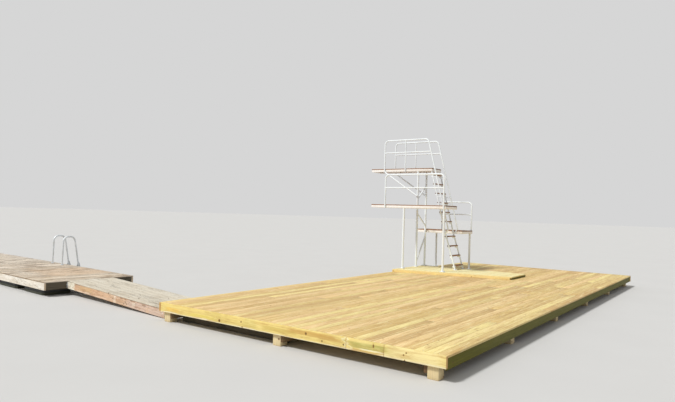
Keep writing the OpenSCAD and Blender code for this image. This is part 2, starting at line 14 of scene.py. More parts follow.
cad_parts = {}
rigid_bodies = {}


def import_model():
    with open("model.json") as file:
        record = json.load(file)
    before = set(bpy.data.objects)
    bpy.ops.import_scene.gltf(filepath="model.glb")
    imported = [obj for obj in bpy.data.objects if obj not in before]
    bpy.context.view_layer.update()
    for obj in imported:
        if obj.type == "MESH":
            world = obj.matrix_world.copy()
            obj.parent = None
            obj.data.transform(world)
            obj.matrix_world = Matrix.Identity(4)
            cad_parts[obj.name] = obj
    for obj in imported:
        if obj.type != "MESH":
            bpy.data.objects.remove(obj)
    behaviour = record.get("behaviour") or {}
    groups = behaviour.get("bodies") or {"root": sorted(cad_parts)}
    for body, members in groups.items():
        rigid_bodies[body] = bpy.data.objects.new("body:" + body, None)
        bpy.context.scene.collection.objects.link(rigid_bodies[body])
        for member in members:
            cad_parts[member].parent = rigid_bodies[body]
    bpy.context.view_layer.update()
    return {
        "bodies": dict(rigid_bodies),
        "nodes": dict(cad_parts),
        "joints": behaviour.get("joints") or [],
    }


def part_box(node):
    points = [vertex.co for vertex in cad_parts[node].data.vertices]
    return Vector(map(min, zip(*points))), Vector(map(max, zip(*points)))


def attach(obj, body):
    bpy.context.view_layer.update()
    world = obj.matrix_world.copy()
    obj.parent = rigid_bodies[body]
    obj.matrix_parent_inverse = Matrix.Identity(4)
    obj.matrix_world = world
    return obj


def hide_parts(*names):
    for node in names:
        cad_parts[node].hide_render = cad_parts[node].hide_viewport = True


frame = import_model()

UP = np.array([0.0, 0.0, 1.0])

# Camera, solved from the deck's four corners in a picture 675 pixels wide
CAMERA_PLACE = (-6.054, -2.901, 1.898)
CAMERA_YAW = 35.941
CAMERA_PITCH = 1.179
CAMERA_ROLL = 1.764
PICTURE_W = 675
FOCAL_PIXELS = 563.6
SENSOR_W = 36.0
CAMERA_FAR = 900.0

# Studio: the floor's radius, the sky's strength as light and as seen, and the sun that is the key
FLOOR_R = 260.0
SKY_LIGHT = 0.54
SKY_SEEN = 0.84
KEY_POWER = 2.55
KEY_SPREAD = math.radians(9)
KEY_TINT = (1.0, 0.985, 0.95)
KEY_WAY = (0.66, -0.30, -0.92)

# Boards and their fixings; the ripple's peak is the largest sum of the sines that make a board's wear
EDGE = 0.003
END_REACH = 0.3
RIPPLE_PEAK = 1.84
RIPPLE_RATE = 3.1
PITH_WANDER = (0.012, 0.010)
LOG_REACH = 60
DECK_BOARD = 0.145
DECK_GAP = 0.004
BUTT_GAP = 0.002
OLD_BOARD = 0.120
OLD_GAP = 0.012
GANGWAY_BOARD = 0.138
TREAD_BOARD = 0.128
TREAD_GAP = 0.006
SCREW_IN = 0.028
END_IN = 0.014
SUPPORT_REACH = 0.03
SCREW_STRAY = 0.0015
NAIL_SINK = 0.0015
RUNNERS = 5
JOISTS_A_BOARD = 7
FASCIA_IN = 0.02
PLATFORM_BOLT_IN = 0.032
YEAR_RING = 0.0042

# Edges bent by more than this show sharp, and lengths within the tolerance count as the same
SHARP_FROM = math.radians(35)
TOLERANCE = 0.001

# Steel sections and fixings
FRAME_BAR = 0.040
RIM = 0.045
POST_R = 0.030
RAIL_R = 0.021
MID_RAIL_R = 0.017
BEND_SWELL = 0.0005
BOLT_IN = 0.024
BEAD_R = 0.003
MID_RAIL_UP = 0.480
LADDER_LEAN = math.radians(15.0)
HANDRAIL_OFF = 0.140
TIE_LEVELS = (3.03, 2.44, 2.26)
TIE_R = 0.009
TIE_SINK = 0.8
TIE_BEAD_R = 0.002
BAR_EDGE = 0.006
SEAM_OFF = 0.008
UPRIGHT_SHARE = 0.46
ANGLE_W = 0.045
ANGLE_T = 0.004
ANGLE_IN = 0.015
TREAD_BOLT_IN = 0.035
FOOT_HALF = (0.030, 0.065)
FOOT_T = 0.006
FOOT_BOLT_OFF = 0.045
PLATE_T = 0.010
PLATE_EDGE = 0.0015
PLATE_CORNER = 0.008
BASE_EDGE = 0.002
BASE_CORNER = 0.010
PIN_END = 0.002
SCREW_RING_R = 0.034
SMALL_HEAD = 0.8
GUSSET_T = 0.006

# The handrails' feet: where they end beside the ladder's side, and their way at start and end
KNEE = np.array([0.012, -0.030, -0.125])
FOOT_REACH = 0.16
FOOT_SINK = 0.004
KNEE_WAY = np.array([-0.10, 0.14, -0.02])

# Floats: corner and edge radius, the grooves' heights and depth
FLOAT_CORNER = 0.060
FLOAT_EDGE = 0.022
GROOVES_UP = (0.062, 0.098)
GROOVE = 0.008

# Ways of the tower's tubes
ALONG = np.array([0.0, 1.0, 0.0])
LEAN = np.array([0.0, math.sin(LADDER_LEAN), math.cos(LADDER_LEAN)])

# A way that no tube here has, and the points of a bent foot
ASKEW = np.array([0.31, 0.87, 0.38])
CURVE_POINTS = 14


def tint(red, green, blue):
    """Linear colour of a screen colour given as three numbers up to 255."""
    screen = np.array([red, green, blue]) / 255
    linear = np.where(screen <= 0.04045, screen / 12.92, ((screen + 0.055) / 1.055) ** 2.4)
    return (*linear.tolist(), 1.0)


class Finish:
    """A material or sky made node by node: each method adds a node and returns its output."""

    def __init__(self, name, kind="materials"):
        self.made = getattr(bpy.data, kind).new(name)
        self.made.use_nodes = True
        self.tree = self.made.node_tree
        self.tree.nodes.clear()

    def add(self, kind, inputs, output=0, **settings):
        node = self.tree.nodes.new(kind)
        for key, value in settings.items():
            setattr(node, key, value)
        for key, value in inputs.items():
            if isinstance(value, bpy.types.NodeSocket):
                self.tree.links.new(value, node.inputs[key])
            else:
                node.inputs[key].default_value = value
        return node.outputs[output]

    def place(self):
        return self.add("ShaderNodeTexCoord", {}, "Object")

    def mark(self, name, output="Fac"):
        return self.add("ShaderNodeAttribute", {}, output, attribute_name=name)

    def calc(self, operation, a, b=0.0):
        return self.add("ShaderNodeMath", {0: a, 1: b}, operation=operation)

    def times(self, a, b):
        return self.calc("MULTIPLY", a, b)

    def plus(self, a, b):
        return self.calc("ADD", a, b)

    def minus(self, a, b):
        return self.calc("SUBTRACT", a, b)

    def split(self, vector):
        first = self.add("ShaderNodeSeparateXYZ", {0: vector})
        return first.node.outputs[0], first.node.outputs[1], first.node.outputs[2]

    def join(self, x, y, z):
        return self.add("ShaderNodeCombineXYZ", {0: x, 1: y, 2: z})

    def stretch(self, vector, scale):
        return self.add("ShaderNodeMapping", {"Vector": vector, "Scale": scale})

    def vector(self, operation, a, b=(0.0, 0.0, 0.0), output=0):
        return self.add("ShaderNodeVectorMath", {0: a, 1: b}, output, operation=operation)

    def noise(self, vector, scale=1.0, detail=2.0, roughness=0.5, output=0):
        inputs = {"Vector": vector, "Scale": scale, "Detail": detail, "Roughness": roughness}
        return self.add("ShaderNodeTexNoise", inputs, output)

    def cells(self, vector, scale, output="Distance", **settings):
        return self.add("ShaderNodeTexVoronoi", {"Vector": vector, "Scale": scale}, output, **settings)

    def fade(self, value, low, high, start=0.0, end=1.0):
        inputs = {"Value": value, "From Min": low, "From Max": high, "To Min": start, "To Max": end}
        return self.add("ShaderNodeMapRange", inputs, interpolation_type="SMOOTHSTEP")

    def blend(self, share, a, b):
        return self.add("ShaderNodeMix", {"Factor": share, 6: a, 7: b}, 2, data_type="RGBA")

    def vary(self, colour, pattern, *layers):
        """Blends in each layer's colour: the pattern's start and end values, a share and the colour."""
        for start, end, share, shade in layers:
            colour = self.blend(self.fade(pattern, start, end, 0.0, share), colour, shade)
        return colour

    def ramp(self, share, colours):
        node = self.add("ShaderNodeValToRGB", {0: share}).node
        stops = node.color_ramp.elements
        while len(stops) < len(colours):
            stops.new(0.5)
        for k, colour in enumerate(colours):
            stops[k].position = k / (len(colours) - 1)
            stops[k].color = colour
        return node.outputs[0]

    def bump(self, height, depth):
        return self.add("ShaderNodeBump", {"Height": height, "Distance": depth, "Strength": 1.0})

    def finish(self, colour, roughness, normal, **fixed):
        inputs = {"Base Color": colour, "Roughness": roughness, "Normal": normal}
        inputs.update({key.replace("_", " "): value for key, value in fixed.items()})
        shader = self.add("ShaderNodeBsdfPrincipled", inputs)
        self.add("ShaderNodeOutputMaterial", {"Surface": shader}, output=slice(0, 0))
        return self.made


def knot_marks(f, along, turn, knots, chosen):
    """How much a point lies in a knot, in its dark halo, and in the rings that the knot pushes out.

    A knot is a spot over length and turn round the pith, as branches grow. chosen lists further
    knots in the object's space, as centre and radius.
    """
    branches = f.join(f.times(along, 3.2), f.times(turn, 0.26), 0.0)
    spot = f.cells(branches, 1.0, voronoi_dimensions="2D")
    luck = f.split(f.cells(branches, 1.0, "Color", voronoi_dimensions="2D"))[0]
    spot = f.plus(spot, f.fade(luck, 0.55 * knots, 0.55 * knots + 0.02))
    reaches = ((0.028, 0.040), (0.035, 0.075), (0.02, 0.30))
    marks = [f.fade(spot, near, far, 1.0, 0.0) for near, far in reaches]
    for centre, radius in chosen:
        away = f.vector("DISTANCE", f.place(), centre, "Value")
        reaches = ((0.75, 1.0), (1.0, 1.7), (0.5, 5.0))
        marks = [f.calc("MAXIMUM", mark, f.fade(away, radius * near, radius * far, 1.0, 0.0))
                 for mark, (near, far) in zip(marks, reaches)]
    return marks


def patched(f, colour, log, fibre, fields, reach):
    """Blends in soft-edged boxes of other colour, their outlines moved by noise of the size reach.

    Each field is a centre, half sizes, a colour and a share, in the object's space.
    """
    if not fields:
        return colour
    place = f.noise(f.stretch(log, (2.2, 16.0, 16.0)), detail=5.0, output="Color")
    for operation, other in (("SUBTRACT", (0.5, 0.5, 0.5)), ("MULTIPLY", reach), ("ADD", f.place())):
        place = f.vector(operation, place, other)
    for centre, half, shade, share in fields:
        away = f.vector("DIVIDE", f.vector("SUBTRACT", place, centre), half)
        x, y, z = f.split(f.vector("ABSOLUTE", away))
        far = f.plus(f.calc("MAXIMUM", f.calc("MAXIMUM", x, y), z), f.times(fibre, 0.5))
        colour = f.blend(f.fade(far, 1.0, 1.5, share, 0.0), colour, shade)
    return colour


def wood(name, tints, late, end_tint, grain=0.5, grey=None, grey_share=0.0, stain=None, stain_share=0.0,
         cracks=0.0, knots=1.0, relief=0.0004, gloss=0.62, streaks=0.0, specks=0.0, flecks=0.0,
         mottle=None, knot_tint=tint(112, 74, 42), chosen=(), fields=(), ragged=(0.0, 0.0, 0.0)):
    """Sawn timber, coloured in the log's own space: length, and across and up from the pith.

    Growth rings are the distance from the pith over the ring width, bent by noise and pushed out
    round the knots. The tone of each board comes from its own mark, and its ends from a mark that
    is 1 there. Streaks are long soft lines of the late wood's colour and of the first tint, flecks
    shorter ones, and specks small dark ones. mottle is a scale and a share of wide weathered clouds
    in the object's space. chosen, fields and ragged are what knot_marks and patched take.
    """
    f = Finish(name)
    log = f.mark("log", "Vector")
    along, side, up = f.split(log)
    knot, halo, push = knot_marks(f, along, f.calc("ARCTAN2", side, up), knots, chosen)
    wave = f.noise(f.stretch(log, (0.9, 9.0, 9.0)))
    radius = f.vector("LENGTH", f.join(0.0, side, up), output="Value")
    growth = f.plus(radius, f.times(wave, 0.016))
    growth = f.plus(growth, f.times(push, 0.012))
    year = f.calc("FRACT", f.calc("DIVIDE", growth, YEAR_RING))
    autumn = f.times(f.calc("POWER", year, 2.2), f.fade(year, 0.9, 1.0, 1.0, 0.0))
    fibre = f.noise(f.stretch(log, (5.0, 320.0, 320.0)))
    patch = f.noise(f.stretch(log, (0.7, 5.0, 5.0)), detail=3.0)
    shade = f.plus(f.times(f.mark("tone"), 0.65), f.times(patch, 0.35))
    colour = f.blend(f.times(autumn, grain), f.ramp(shade, tints), late)
    colour = f.blend(f.fade(fibre, 0.5, 0.8, 0.0, grain * 0.5), colour, late)
    height = f.minus(f.times(fibre, 0.4), f.times(autumn, 0.3))
    if grey:
        streak = f.noise(f.stretch(log, (1.6, 45.0, 45.0)), detail=4.0, roughness=0.6)
        colour = f.blend(f.fade(streak, 0.32, 0.68, 0.0, grey_share), colour, grey)
    if stain:
        blotch = f.noise(f.stretch(f.place(), (1.7, 1.7, 1.7)), detail=5.0, roughness=0.62)
        colour = f.blend(f.fade(blotch, 0.48, 0.68, 0.0, stain_share), colour, stain)
    colour = patched(f, colour, log, fibre, fields, ragged)
    if streaks:
        line = f.noise(f.stretch(log, (0.35, 34.0, 34.0)), detail=3.0, roughness=0.6)
        colour = f.vary(colour, line, (0.5, 0.72, streaks, late), (0.46, 0.28, streaks, tints[0]))
    if flecks:
        short = f.noise(f.stretch(log, (3.2, 26.0, 26.0)), detail=4.0, roughness=0.65)
        colour = f.vary(colour, short, (0.52, 0.70, flecks, late), (0.44, 0.30, flecks * 0.8, tints[0]))
    if mottle:
        scale, share = mottle
        cloud = f.noise(f.stretch(f.place(), scale), detail=5.0, roughness=0.66)
        colour = f.vary(colour, cloud, (0.50, 0.66, share, late), (0.46, 0.32, share, tints[0]))
    if specks:
        dots = f.noise(f.stretch(log, (14.0, 70.0, 70.0)), detail=3.0, roughness=0.7)
        dots = f.fade(f.plus(dots, f.times(patch, 0.25)), 0.70, 0.78, 0.0, specks)
        colour = f.blend(dots, colour, tint(84, 70, 56))
        height = f.minus(height, f.times(dots, 0.8))
    colour = f.blend(f.times(halo, 0.45), colour, late)
    colour = f.blend(knot, colour, knot_tint)
    height = f.plus(height, f.times(knot, 0.5))
    if cracks:
        vein = f.noise(f.stretch(log, (1.1, 60.0, 60.0)), detail=1.0)
        split = f.fade(f.calc("ABSOLUTE", f.minus(vein, 0.5)), 0.004, 0.014, cracks, 0.0)
        split = f.times(split, f.fade(patch, 0.42, 0.58))
        colour = f.blend(split, colour, tint(52, 42, 32))
        height = f.minus(height, f.times(split, 2.5))
    ends = f.blend(f.times(autumn, 0.6), end_tint, late)
    colour = f.blend(f.times(f.mark("end"), 0.9), colour, ends)
    roughness = f.fade(fibre, 0.3, 0.7, gloss, gloss + 0.16)
    return f.finish(colour, roughness, f.bump(height, relief), Specular_IOR_Level=0.35)


def enamel(name, paint, dirt, rust_share):
    """White enamel on steel: grey runs down it, small chips with rust in them, a fine orange peel."""
    f = Finish(name)
    place = f.place()
    cloud = f.noise(place, 2.2, 4.0)
    runs = f.noise(f.stretch(place, (28.0, 28.0, 1.6)), detail=3.0)
    speck = f.noise(place, 85.0, 3.0, 0.65)
    chip = f.fade(f.plus(speck, f.times(cloud, 0.35)), 0.96 - rust_share,
                  0.98 - rust_share)
    colour = f.blend(f.fade(runs, 0.5, 0.8, 0.0, 0.45), paint, dirt)
    colour = f.blend(f.fade(cloud, 0.5, 0.75, 0.0, 0.3), colour, dirt)
    colour = f.blend(chip, colour, tint(128, 78, 46))
    peel = f.noise(place, 260.0, 1.0)
    height = f.minus(f.times(peel, 0.15), chip)
    return f.finish(colour, f.fade(chip, 0.0, 1.0, 0.42, 0.85), f.bump(height, 0.0003),
                    Specular_IOR_Level=0.4)


def galvanised(name, light, dark):
    """Zinc-dipped steel: the crystals of the zinc as cells of slightly different grey, dulled in clouds."""
    f = Finish(name)
    place = f.place()
    crystal = f.split(f.cells(place, 90.0, "Color"))[0]
    cloud = f.noise(place, 5.0, 5.0, 0.6)
    colour = f.blend(f.times(crystal, 0.5), light, dark)
    colour = f.blend(f.fade(cloud, 0.5, 0.72, 0.0, 0.5), colour, tint(176, 178, 172))
    scratch = f.noise(place, 140.0, 2.0)
    return f.finish(colour, f.fade(cloud, 0.3, 0.7, 0.38, 0.62), f.bump(scratch, 0.0002), Metallic=0.35)


def moulded(name, base, scuff, weed):
    """Moulded plastic afloat: a fine grain, pale scuffs, and a green-brown line up to the water mark."""
    f = Finish(name)
    place = f.place()
    scuffs = f.noise(f.stretch(place, (3.0, 3.0, 22.0)), detail=5.0, roughness=0.65)
    colour = f.blend(f.fade(scuffs, 0.5, 0.75, 0.0, 0.6), base, scuff)
    ragged = f.plus(f.split(place)[2], f.times(f.noise(place, 9.0, 4.0), 0.06))
    colour = f.blend(f.fade(ragged, 0.06, 0.12, 0.8, 0.0), colour, weed)
    return f.finish(colour, f.fade(scuffs, 0.3, 0.7, 0.45, 0.7), f.bump(f.noise(place, 400.0), 0.0002),
                    Specular_IOR_Level=0.4)


def side_fields(x, half_x, rows):
    """Fields of other colour on boards that stand at x, from rows of Y, Z, half sizes, tint, share."""
    return [((x, y, z), (half_x, half_y, half_z), tint(*shade), share)
            for y, z, half_y, half_z, shade, share in rows]


# Front boards, at the X of their outer face. Knots that show, as Y, Z and radius; then fields of
# other colour, as Y, Z, half sizes, tint and share: a pale lower edge, the light end strip of the
# middle board, its pale line, and yellow patches near the lake end
FRONT_X = -0.119
FRONT_KNOTS = [((FRONT_X, y, z), radius) for y, z, radius in (
    (3.548, 0.205, 0.022), (3.085, 0.250, 0.013), (1.860, 0.262, 0.019), (1.240, 0.215, 0.011),
    (3.060, 0.178, 0.011), (1.585, 0.205, 0.012), (0.330, 0.262, 0.010), (0.365, 0.232, 0.010),
    (0.350, 0.172, 0.009))]
FRONT_FIELDS = side_fields(FRONT_X, 0.02, [
    (2.40, 0.168, 3.00, 0.014, (253, 244, 214), 0.8), (0.25, 0.240, 0.39, 0.090, (252, 238, 184), 0.45),
    (1.20, 0.240, 0.020, 0.10, (252, 240, 186), 0.9), (0.91, 0.243, 0.26, 0.036, (176, 168, 88), 0.8),
    (0.91, 0.176, 0.26, 0.016, (202, 164, 90), 0.7), (0.84, 0.204, 0.20, 0.006, (254, 246, 210), 0.85),
    (1.70, 0.262, 0.42, 0.030, (198, 150, 72), 0.65), (2.30, 0.235, 0.30, 0.026, (206, 178, 92), 0.6),
    (4.72, 0.225, 0.16, 0.030, (250, 206, 96), 0.6), (3.95, 0.212, 0.32, 0.022, (240, 222, 110), 0.6)])

# Places of other colour on the gangway's near side board, in the same way: a greyer shore half, an ochre
# part, the pale lower edge, two pale upright marks, dark marks along the top edge, the pale lake end
GANGWAY_FIELDS = side_fields(0.13, 0.3, [
    (5.68, 0.100, 0.60, 0.12, (220, 200, 188), 0.65), (7.80, 0.200, 0.26, 0.05, (212, 178, 124), 0.5),
    (7.90, 0.130, 0.30, 0.018, (254, 230, 204), 0.75), (7.28, 0.106, 0.30, 0.018, (254, 226, 200), 0.7),
    (6.69, 0.139, 0.045, 0.070, (254, 240, 218), 0.6), (6.05, 0.118, 0.040, 0.040, (252, 240, 220), 0.6),
    (6.47, 0.188, 0.045, 0.014, (158, 124, 98), 0.75), (6.32, 0.182, 0.030, 0.012, (158, 124, 98), 0.7),
    (6.07, 0.172, 0.075, 0.014, (166, 134, 108), 0.75), (5.72, 0.146, 0.060, 0.016, (158, 128, 106), 0.7),
    (8.42, 0.200, 0.17, 0.20, (255, 250, 230), 1.0)])

# Places on the pontoon's boards, as X, Y, half sizes, tint and share: the paler far part, its
# bleached far edge, a strip of paler boards, a warmer part by the hoops, an ochre patch
PONTOON_FIELDS = [((x, y, 0.31), (half_x, half_y, 0.1), tint(*shade), share)
                  for x, y, half_x, half_y, shade, share in (
    (0.85, 15.20, 2.50, 3.05, (236, 228, 216), 0.45), (2.14, 14.70, 0.13, 1.70, (254, 246, 240), 0.8),
    (1.30, 11.75, 2.50, 0.12, (254, 242, 226), 0.85), (1.15, 10.10, 0.70, 0.70, (234, 198, 160), 0.5),
    (0.17, 9.24, 0.10, 0.10, (184, 152, 104), 0.6))]

NEW_TINTS = [tint(255, 244, 192), tint(220, 192, 126), tint(246, 216, 160), tint(206, 174, 118),
             tint(250, 234, 162), tint(224, 184, 140)]
STEP_TINTS = [tint(255, 253, 208), tint(246, 234, 172), tint(255, 248, 192)]
FRONT_TINTS = [tint(252, 237, 163), tint(247, 224, 140), tint(239, 218, 132)]
GREY_TINTS = [tint(251, 238, 218), tint(213, 193, 163), tint(236, 223, 204), tint(189, 167, 139)]

FINISHES = {
    "deck": wood("new_pine", NEW_TINTS, tint(188, 148, 92), tint(250, 224, 154), grain=0.5, streaks=0.5,
                 flecks=0.7, knots=0.55, knot_tint=tint(150, 106, 66)),
    "front": wood("front_pine", FRONT_TINTS, tint(196, 152, 82), tint(200, 156, 98), grain=0.36,
                  streaks=0.35, flecks=0.5, knots=0.15, knot_tint=tint(128, 100, 52),
                  stain=tint(208, 190, 108), stain_share=0.45, mottle=((3.0, 3.0, 16.0), 0.3),
                  chosen=FRONT_KNOTS, fields=FRONT_FIELDS, ragged=(0.0, 0.5, 0.05)),
    "step": wood("step_pine", STEP_TINTS, tint(204, 172, 118), tint(255, 236, 172), grain=0.4, streaks=0.4,
                 flecks=0.4, knots=0.55, knot_tint=tint(150, 106, 66)),
    "step_front": wood("step_front_pine", [tint(255, 242, 180), tint(252, 228, 160)], tint(206, 166, 100),
                       tint(226, 190, 120), grain=0.3, streaks=0.3),
    # The rim finish's dark olive tints are painted shade: new pine coloured as it looks in shadow on the
    # shore side
    "rim": wood("shore_rim_painted_shade_pine", [tint(110, 106, 26), tint(92, 90, 16)], tint(74, 66, 16),
                tint(112, 94, 40), grey=tint(80, 82, 18), grey_share=0.5),
    "under": wood("damp_pine", [tint(150, 122, 84), tint(122, 98, 66), tint(138, 116, 80)],
                  tint(84, 62, 38), tint(108, 82, 54), grey=tint(104, 98, 80), grey_share=0.45,
                  stain=tint(66, 56, 40), stain_share=0.6),
    "old": wood("weathered_pine", GREY_TINTS, tint(140, 116, 92), tint(156, 132, 104),
                grey=tint(232, 222, 208), grey_share=0.7, stain=tint(176, 144, 112),
                stain_share=0.45, cracks=0.85, relief=0.0009, gloss=0.72, streaks=0.5, specks=0.6,
                mottle=((1.5, 5.5, 1.0), 0.8), fields=PONTOON_FIELDS,
                ragged=(0.5, 0.35, 0.0)),
    "side": wood("cream_side_pine", [tint(254, 248, 236), tint(246, 238, 222)], tint(190, 168, 140),
                 tint(206, 184, 154), grey=tint(254, 251, 245), grey_share=0.6,
                 stain=tint(216, 198, 172), stain_share=0.35, cracks=0.6, relief=0.0009, gloss=0.72,
                 streaks=0.3, specks=0.45, mottle=((2.0, 2.0, 9.0), 0.3)),
    "post": wood("post_pine", [tint(246, 228, 184), tint(228, 206, 156)], tint(168, 134, 88),
                 tint(196, 164, 112), grey=tint(206, 194, 160), grey_share=0.3,
                 stain=tint(150, 130, 92), stain_share=0.4),
    "pale": wood("bleached_pine", [tint(230, 223, 207), tint(216, 207, 189), tint(226, 216, 196)],
                 tint(162, 146, 122), tint(186, 164, 136), grey=tint(236, 231, 217), grey_share=0.7,
                 stain=tint(196, 180, 154), stain_share=0.35, cracks=0.8, relief=0.0009, gloss=0.72,
                 streaks=0.25, specks=0.45, mottle=((1.8, 1.2, 1.0), 0.3)),
    "warm": wood("gangway_side_pine", [tint(230, 192, 155), tint(217, 177, 141)], tint(174, 130, 96),
                 tint(236, 222, 196), grey=tint(240, 218, 193), grey_share=0.5,
                 stain=tint(212, 170, 132), stain_share=0.4, cracks=0.8, relief=0.0010, streaks=0.5,
                 specks=0.65, mottle=((4.0, 4.0, 14.0), 0.5), fields=GANGWAY_FIELDS,
                 ragged=(0.0, 0.08, 0.03)),
    # Dark wet timber; on the pontoon's shore-facing end boards its darkness is painted shade
    "dark": wood("wet_timber_and_painted_shade", [tint(104, 92, 74), tint(84, 76, 62)], tint(50, 42, 32),
                 tint(92, 76, 56), grey=tint(112, 106, 92), grey_share=0.5, stain=tint(60, 60, 44),
                 stain_share=0.6, cracks=0.8, relief=0.0012, gloss=0.68),
    "tread": wood("brown_stained_pine", [tint(164, 116, 80), tint(146, 100, 70), tint(178, 134, 98)],
                  tint(96, 64, 42), tint(128, 94, 66), grey=tint(188, 160, 132), grey_share=0.5),
    "paint": enamel("white_enamel", tint(245, 251, 255), tint(206, 214, 216), 0.02),
    "frame_paint": enamel("platform_enamel", tint(252, 248, 243), tint(226, 210, 198), 0.05),
    "zinc": galvanised("galvanised_steel", tint(236, 241, 245), tint(208, 214, 220)),
    "worn_zinc": galvanised("worn_steel", tint(184, 188, 190), tint(150, 154, 158)),
    "dull_zinc": galvanised("dull_steel", tint(146, 149, 148), tint(112, 116, 118)),
    "plastic": moulded("float_plastic", tint(62, 64, 66), tint(104, 106, 106), tint(64, 66, 44)),
}


def unit(way):
    """Each way at length 1."""
    return way / np.linalg.norm(way, axis=-1, keepdims=True)


def turn_of(body):
    """Rows are a body's own directions: across, along and up, from the hinge axis and the two pins."""
    if body == "deck":
        return np.eye(3)
    hinges = {joint["name"]: joint for joint in frame["joints"]}
    across = np.array(hinges["gangway_hinge"]["axis"], dtype=float)
    climb = np.subtract(hinges["pontoon_hinge"]["pos_m"], hinges["gangway_hinge"]["pos_m"])
    climb -= across * (climb @ across)
    if body == "pontoon":
        climb[2] = 0.0
    climb = unit(climb)
    return np.array([across, climb, np.cross(across, climb)])


def middle_of(node):
    """Middle of a CAD node's box."""
    return np.mean(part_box(node), axis=0)


TURN = {body: turn_of(body) for body in frame["bodies"]}
TOWER_Y = middle_of("tower_tall_posts")[1]


def corners_of(node):
    """Corners of a CAD node's mesh, one a row."""
    mesh = frame["nodes"][node].data
    co = np.empty(len(mesh.vertices) * 3)
    mesh.vertices.foreach_get("co", co)
    return co.reshape(-1, 3)


def clusters(node, body):
    """Points of each separate solid of a CAD node, in its body's directions, in a fixed order.

    Corners at the same place are one point. Each point starts with its own number, and a triangle's
    three points take their lowest one, until no number changes: then each solid has one number.
    """
    mesh = frame["nodes"][node].data
    corner = np.empty(len(mesh.loops), dtype=int)
    mesh.loops.foreach_get("vertex_index", corner)
    places, same = np.unique(np.round(corners_of(node), 5), axis=0, return_inverse=True)
    tri = same.ravel()[corner].reshape(-1, 3)
    number = np.arange(len(places))
    while True:
        spread = number.copy()
        for k in range(3):
            np.minimum.at(spread, tri[:, k], number[tri].min(axis=1))
        spread = spread[spread]
        if (spread == number).all():
            break
        number = spread
    local = places @ TURN[body].T
    return [local[number == n] for n in np.unique(number)]


def solids(node, body):
    """Lowest and highest corner of each separate solid of a CAD node, in its body's directions."""
    return np.array([[points.min(axis=0), points.max(axis=0)] for points in clusters(node, body)])


def join(parts):
    """One mesh from several: points in a row, face numbers moved on by the points before them."""
    starts = np.cumsum([0] + [len(part["points"]) for part in parts[:-1]])
    marks = {mark: np.concatenate([part["marks"][mark] for part in parts]) for mark in parts[0]["marks"]}
    return {"points": np.concatenate([part["points"] for part in parts]),
            "faces": [block + start for part, start in zip(parts, starts) for block in part["faces"]],
            "marks": marks}


def shell(points, closed=False):
    """Mesh of rings of points, each closed on itself: walls from ring to ring, and caps at both ends.

    The array's last axes are ring, point and coordinate, and a first one can count separate bodies.
    A closed shell has walls from its last ring to its first one instead of caps.
    """
    ring = np.arange(points[..., 0].size).reshape(points.shape[:-1])
    low, high = ring[..., :-1, :], ring[..., 1:, :]
    caps = [ring[..., 0, ::-1].reshape(-1, ring.shape[-1]), ring[..., -1, :].reshape(-1, ring.shape[-1])]
    if closed:
        low, high, caps = ring, np.roll(ring, -1, -2), []
    walls = np.stack([low, np.roll(low, -1, -1), np.roll(high, -1, -1), high], -1).reshape(-1, 4)
    return {"points": points.reshape(-1, 3), "faces": [walls, *caps], "marks": {}}


def placed(name, data):
    """A new object in the scene with a mesh, light or lens."""
    thing = bpy.data.objects.new(name, data)
    bpy.context.scene.collection.objects.link(thing)
    return thing


def add_piece(name, part, finish, body, replaces=()):
    """Makes the object, with its marks as point attributes, hangs it on its body, and hides the CAD nodes
    that it replaces.
    """
    mesh = bpy.data.meshes.new(name)
    faces = [face for block in part["faces"] for face in block.tolist()]
    mesh.from_pydata(part["points"].tolist(), [], faces)
    for mark, values in part["marks"].items():
        kind, field = ("FLOAT_VECTOR", "vector") if values.ndim == 2 else ("FLOAT", "value")
        layer = mesh.attributes.new(mark, kind, "POINT")
        layer.data.foreach_set(field, values.astype(np.float32).ravel())
    mesh.shade_smooth()
    mesh.set_sharp_from_angle(angle=SHARP_FROM)
    mesh.materials.append(FINISHES[finish])
    piece = placed(name, mesh)
    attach(piece, body)
    if replaces:
        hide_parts(*replaces)


def stand_in(node, name, part, finish, body):
    """Makes the piece that takes a CAD node's place, and hides the node."""
    add_piece(name, part, finish, body, [node])


def round_corners(steps):
    """A rectangle's corners, counter-clockwise, as steps points each: the sides, and the ways out."""
    turns = (np.radians([0, 90, 180, 270])[:, None] + np.linspace(0, math.pi / 2, steps)).ravel()
    side = np.repeat([[1.0, 1.0], [-1.0, 1.0], [-1.0, -1.0], [1.0, -1.0]], steps, axis=0)
    return side, np.stack([np.cos(turns), np.sin(turns)], axis=1)


def section():
    """A board's section, counter-clockwise: round corners, and a point in the middle of both wide faces.

    For each point: the side that it lies on, -1, 0 or 1 across and up, and its way out.
    """
    side, way = round_corners(4)
    for at, sign in ((12, -1.0), (4, 1.0)):
        way = np.insert(way, at, [0.0, sign], axis=0)
        side = np.insert(side, at, [0.0, sign], axis=0)
    return side, way


SIDE, WAY = section()


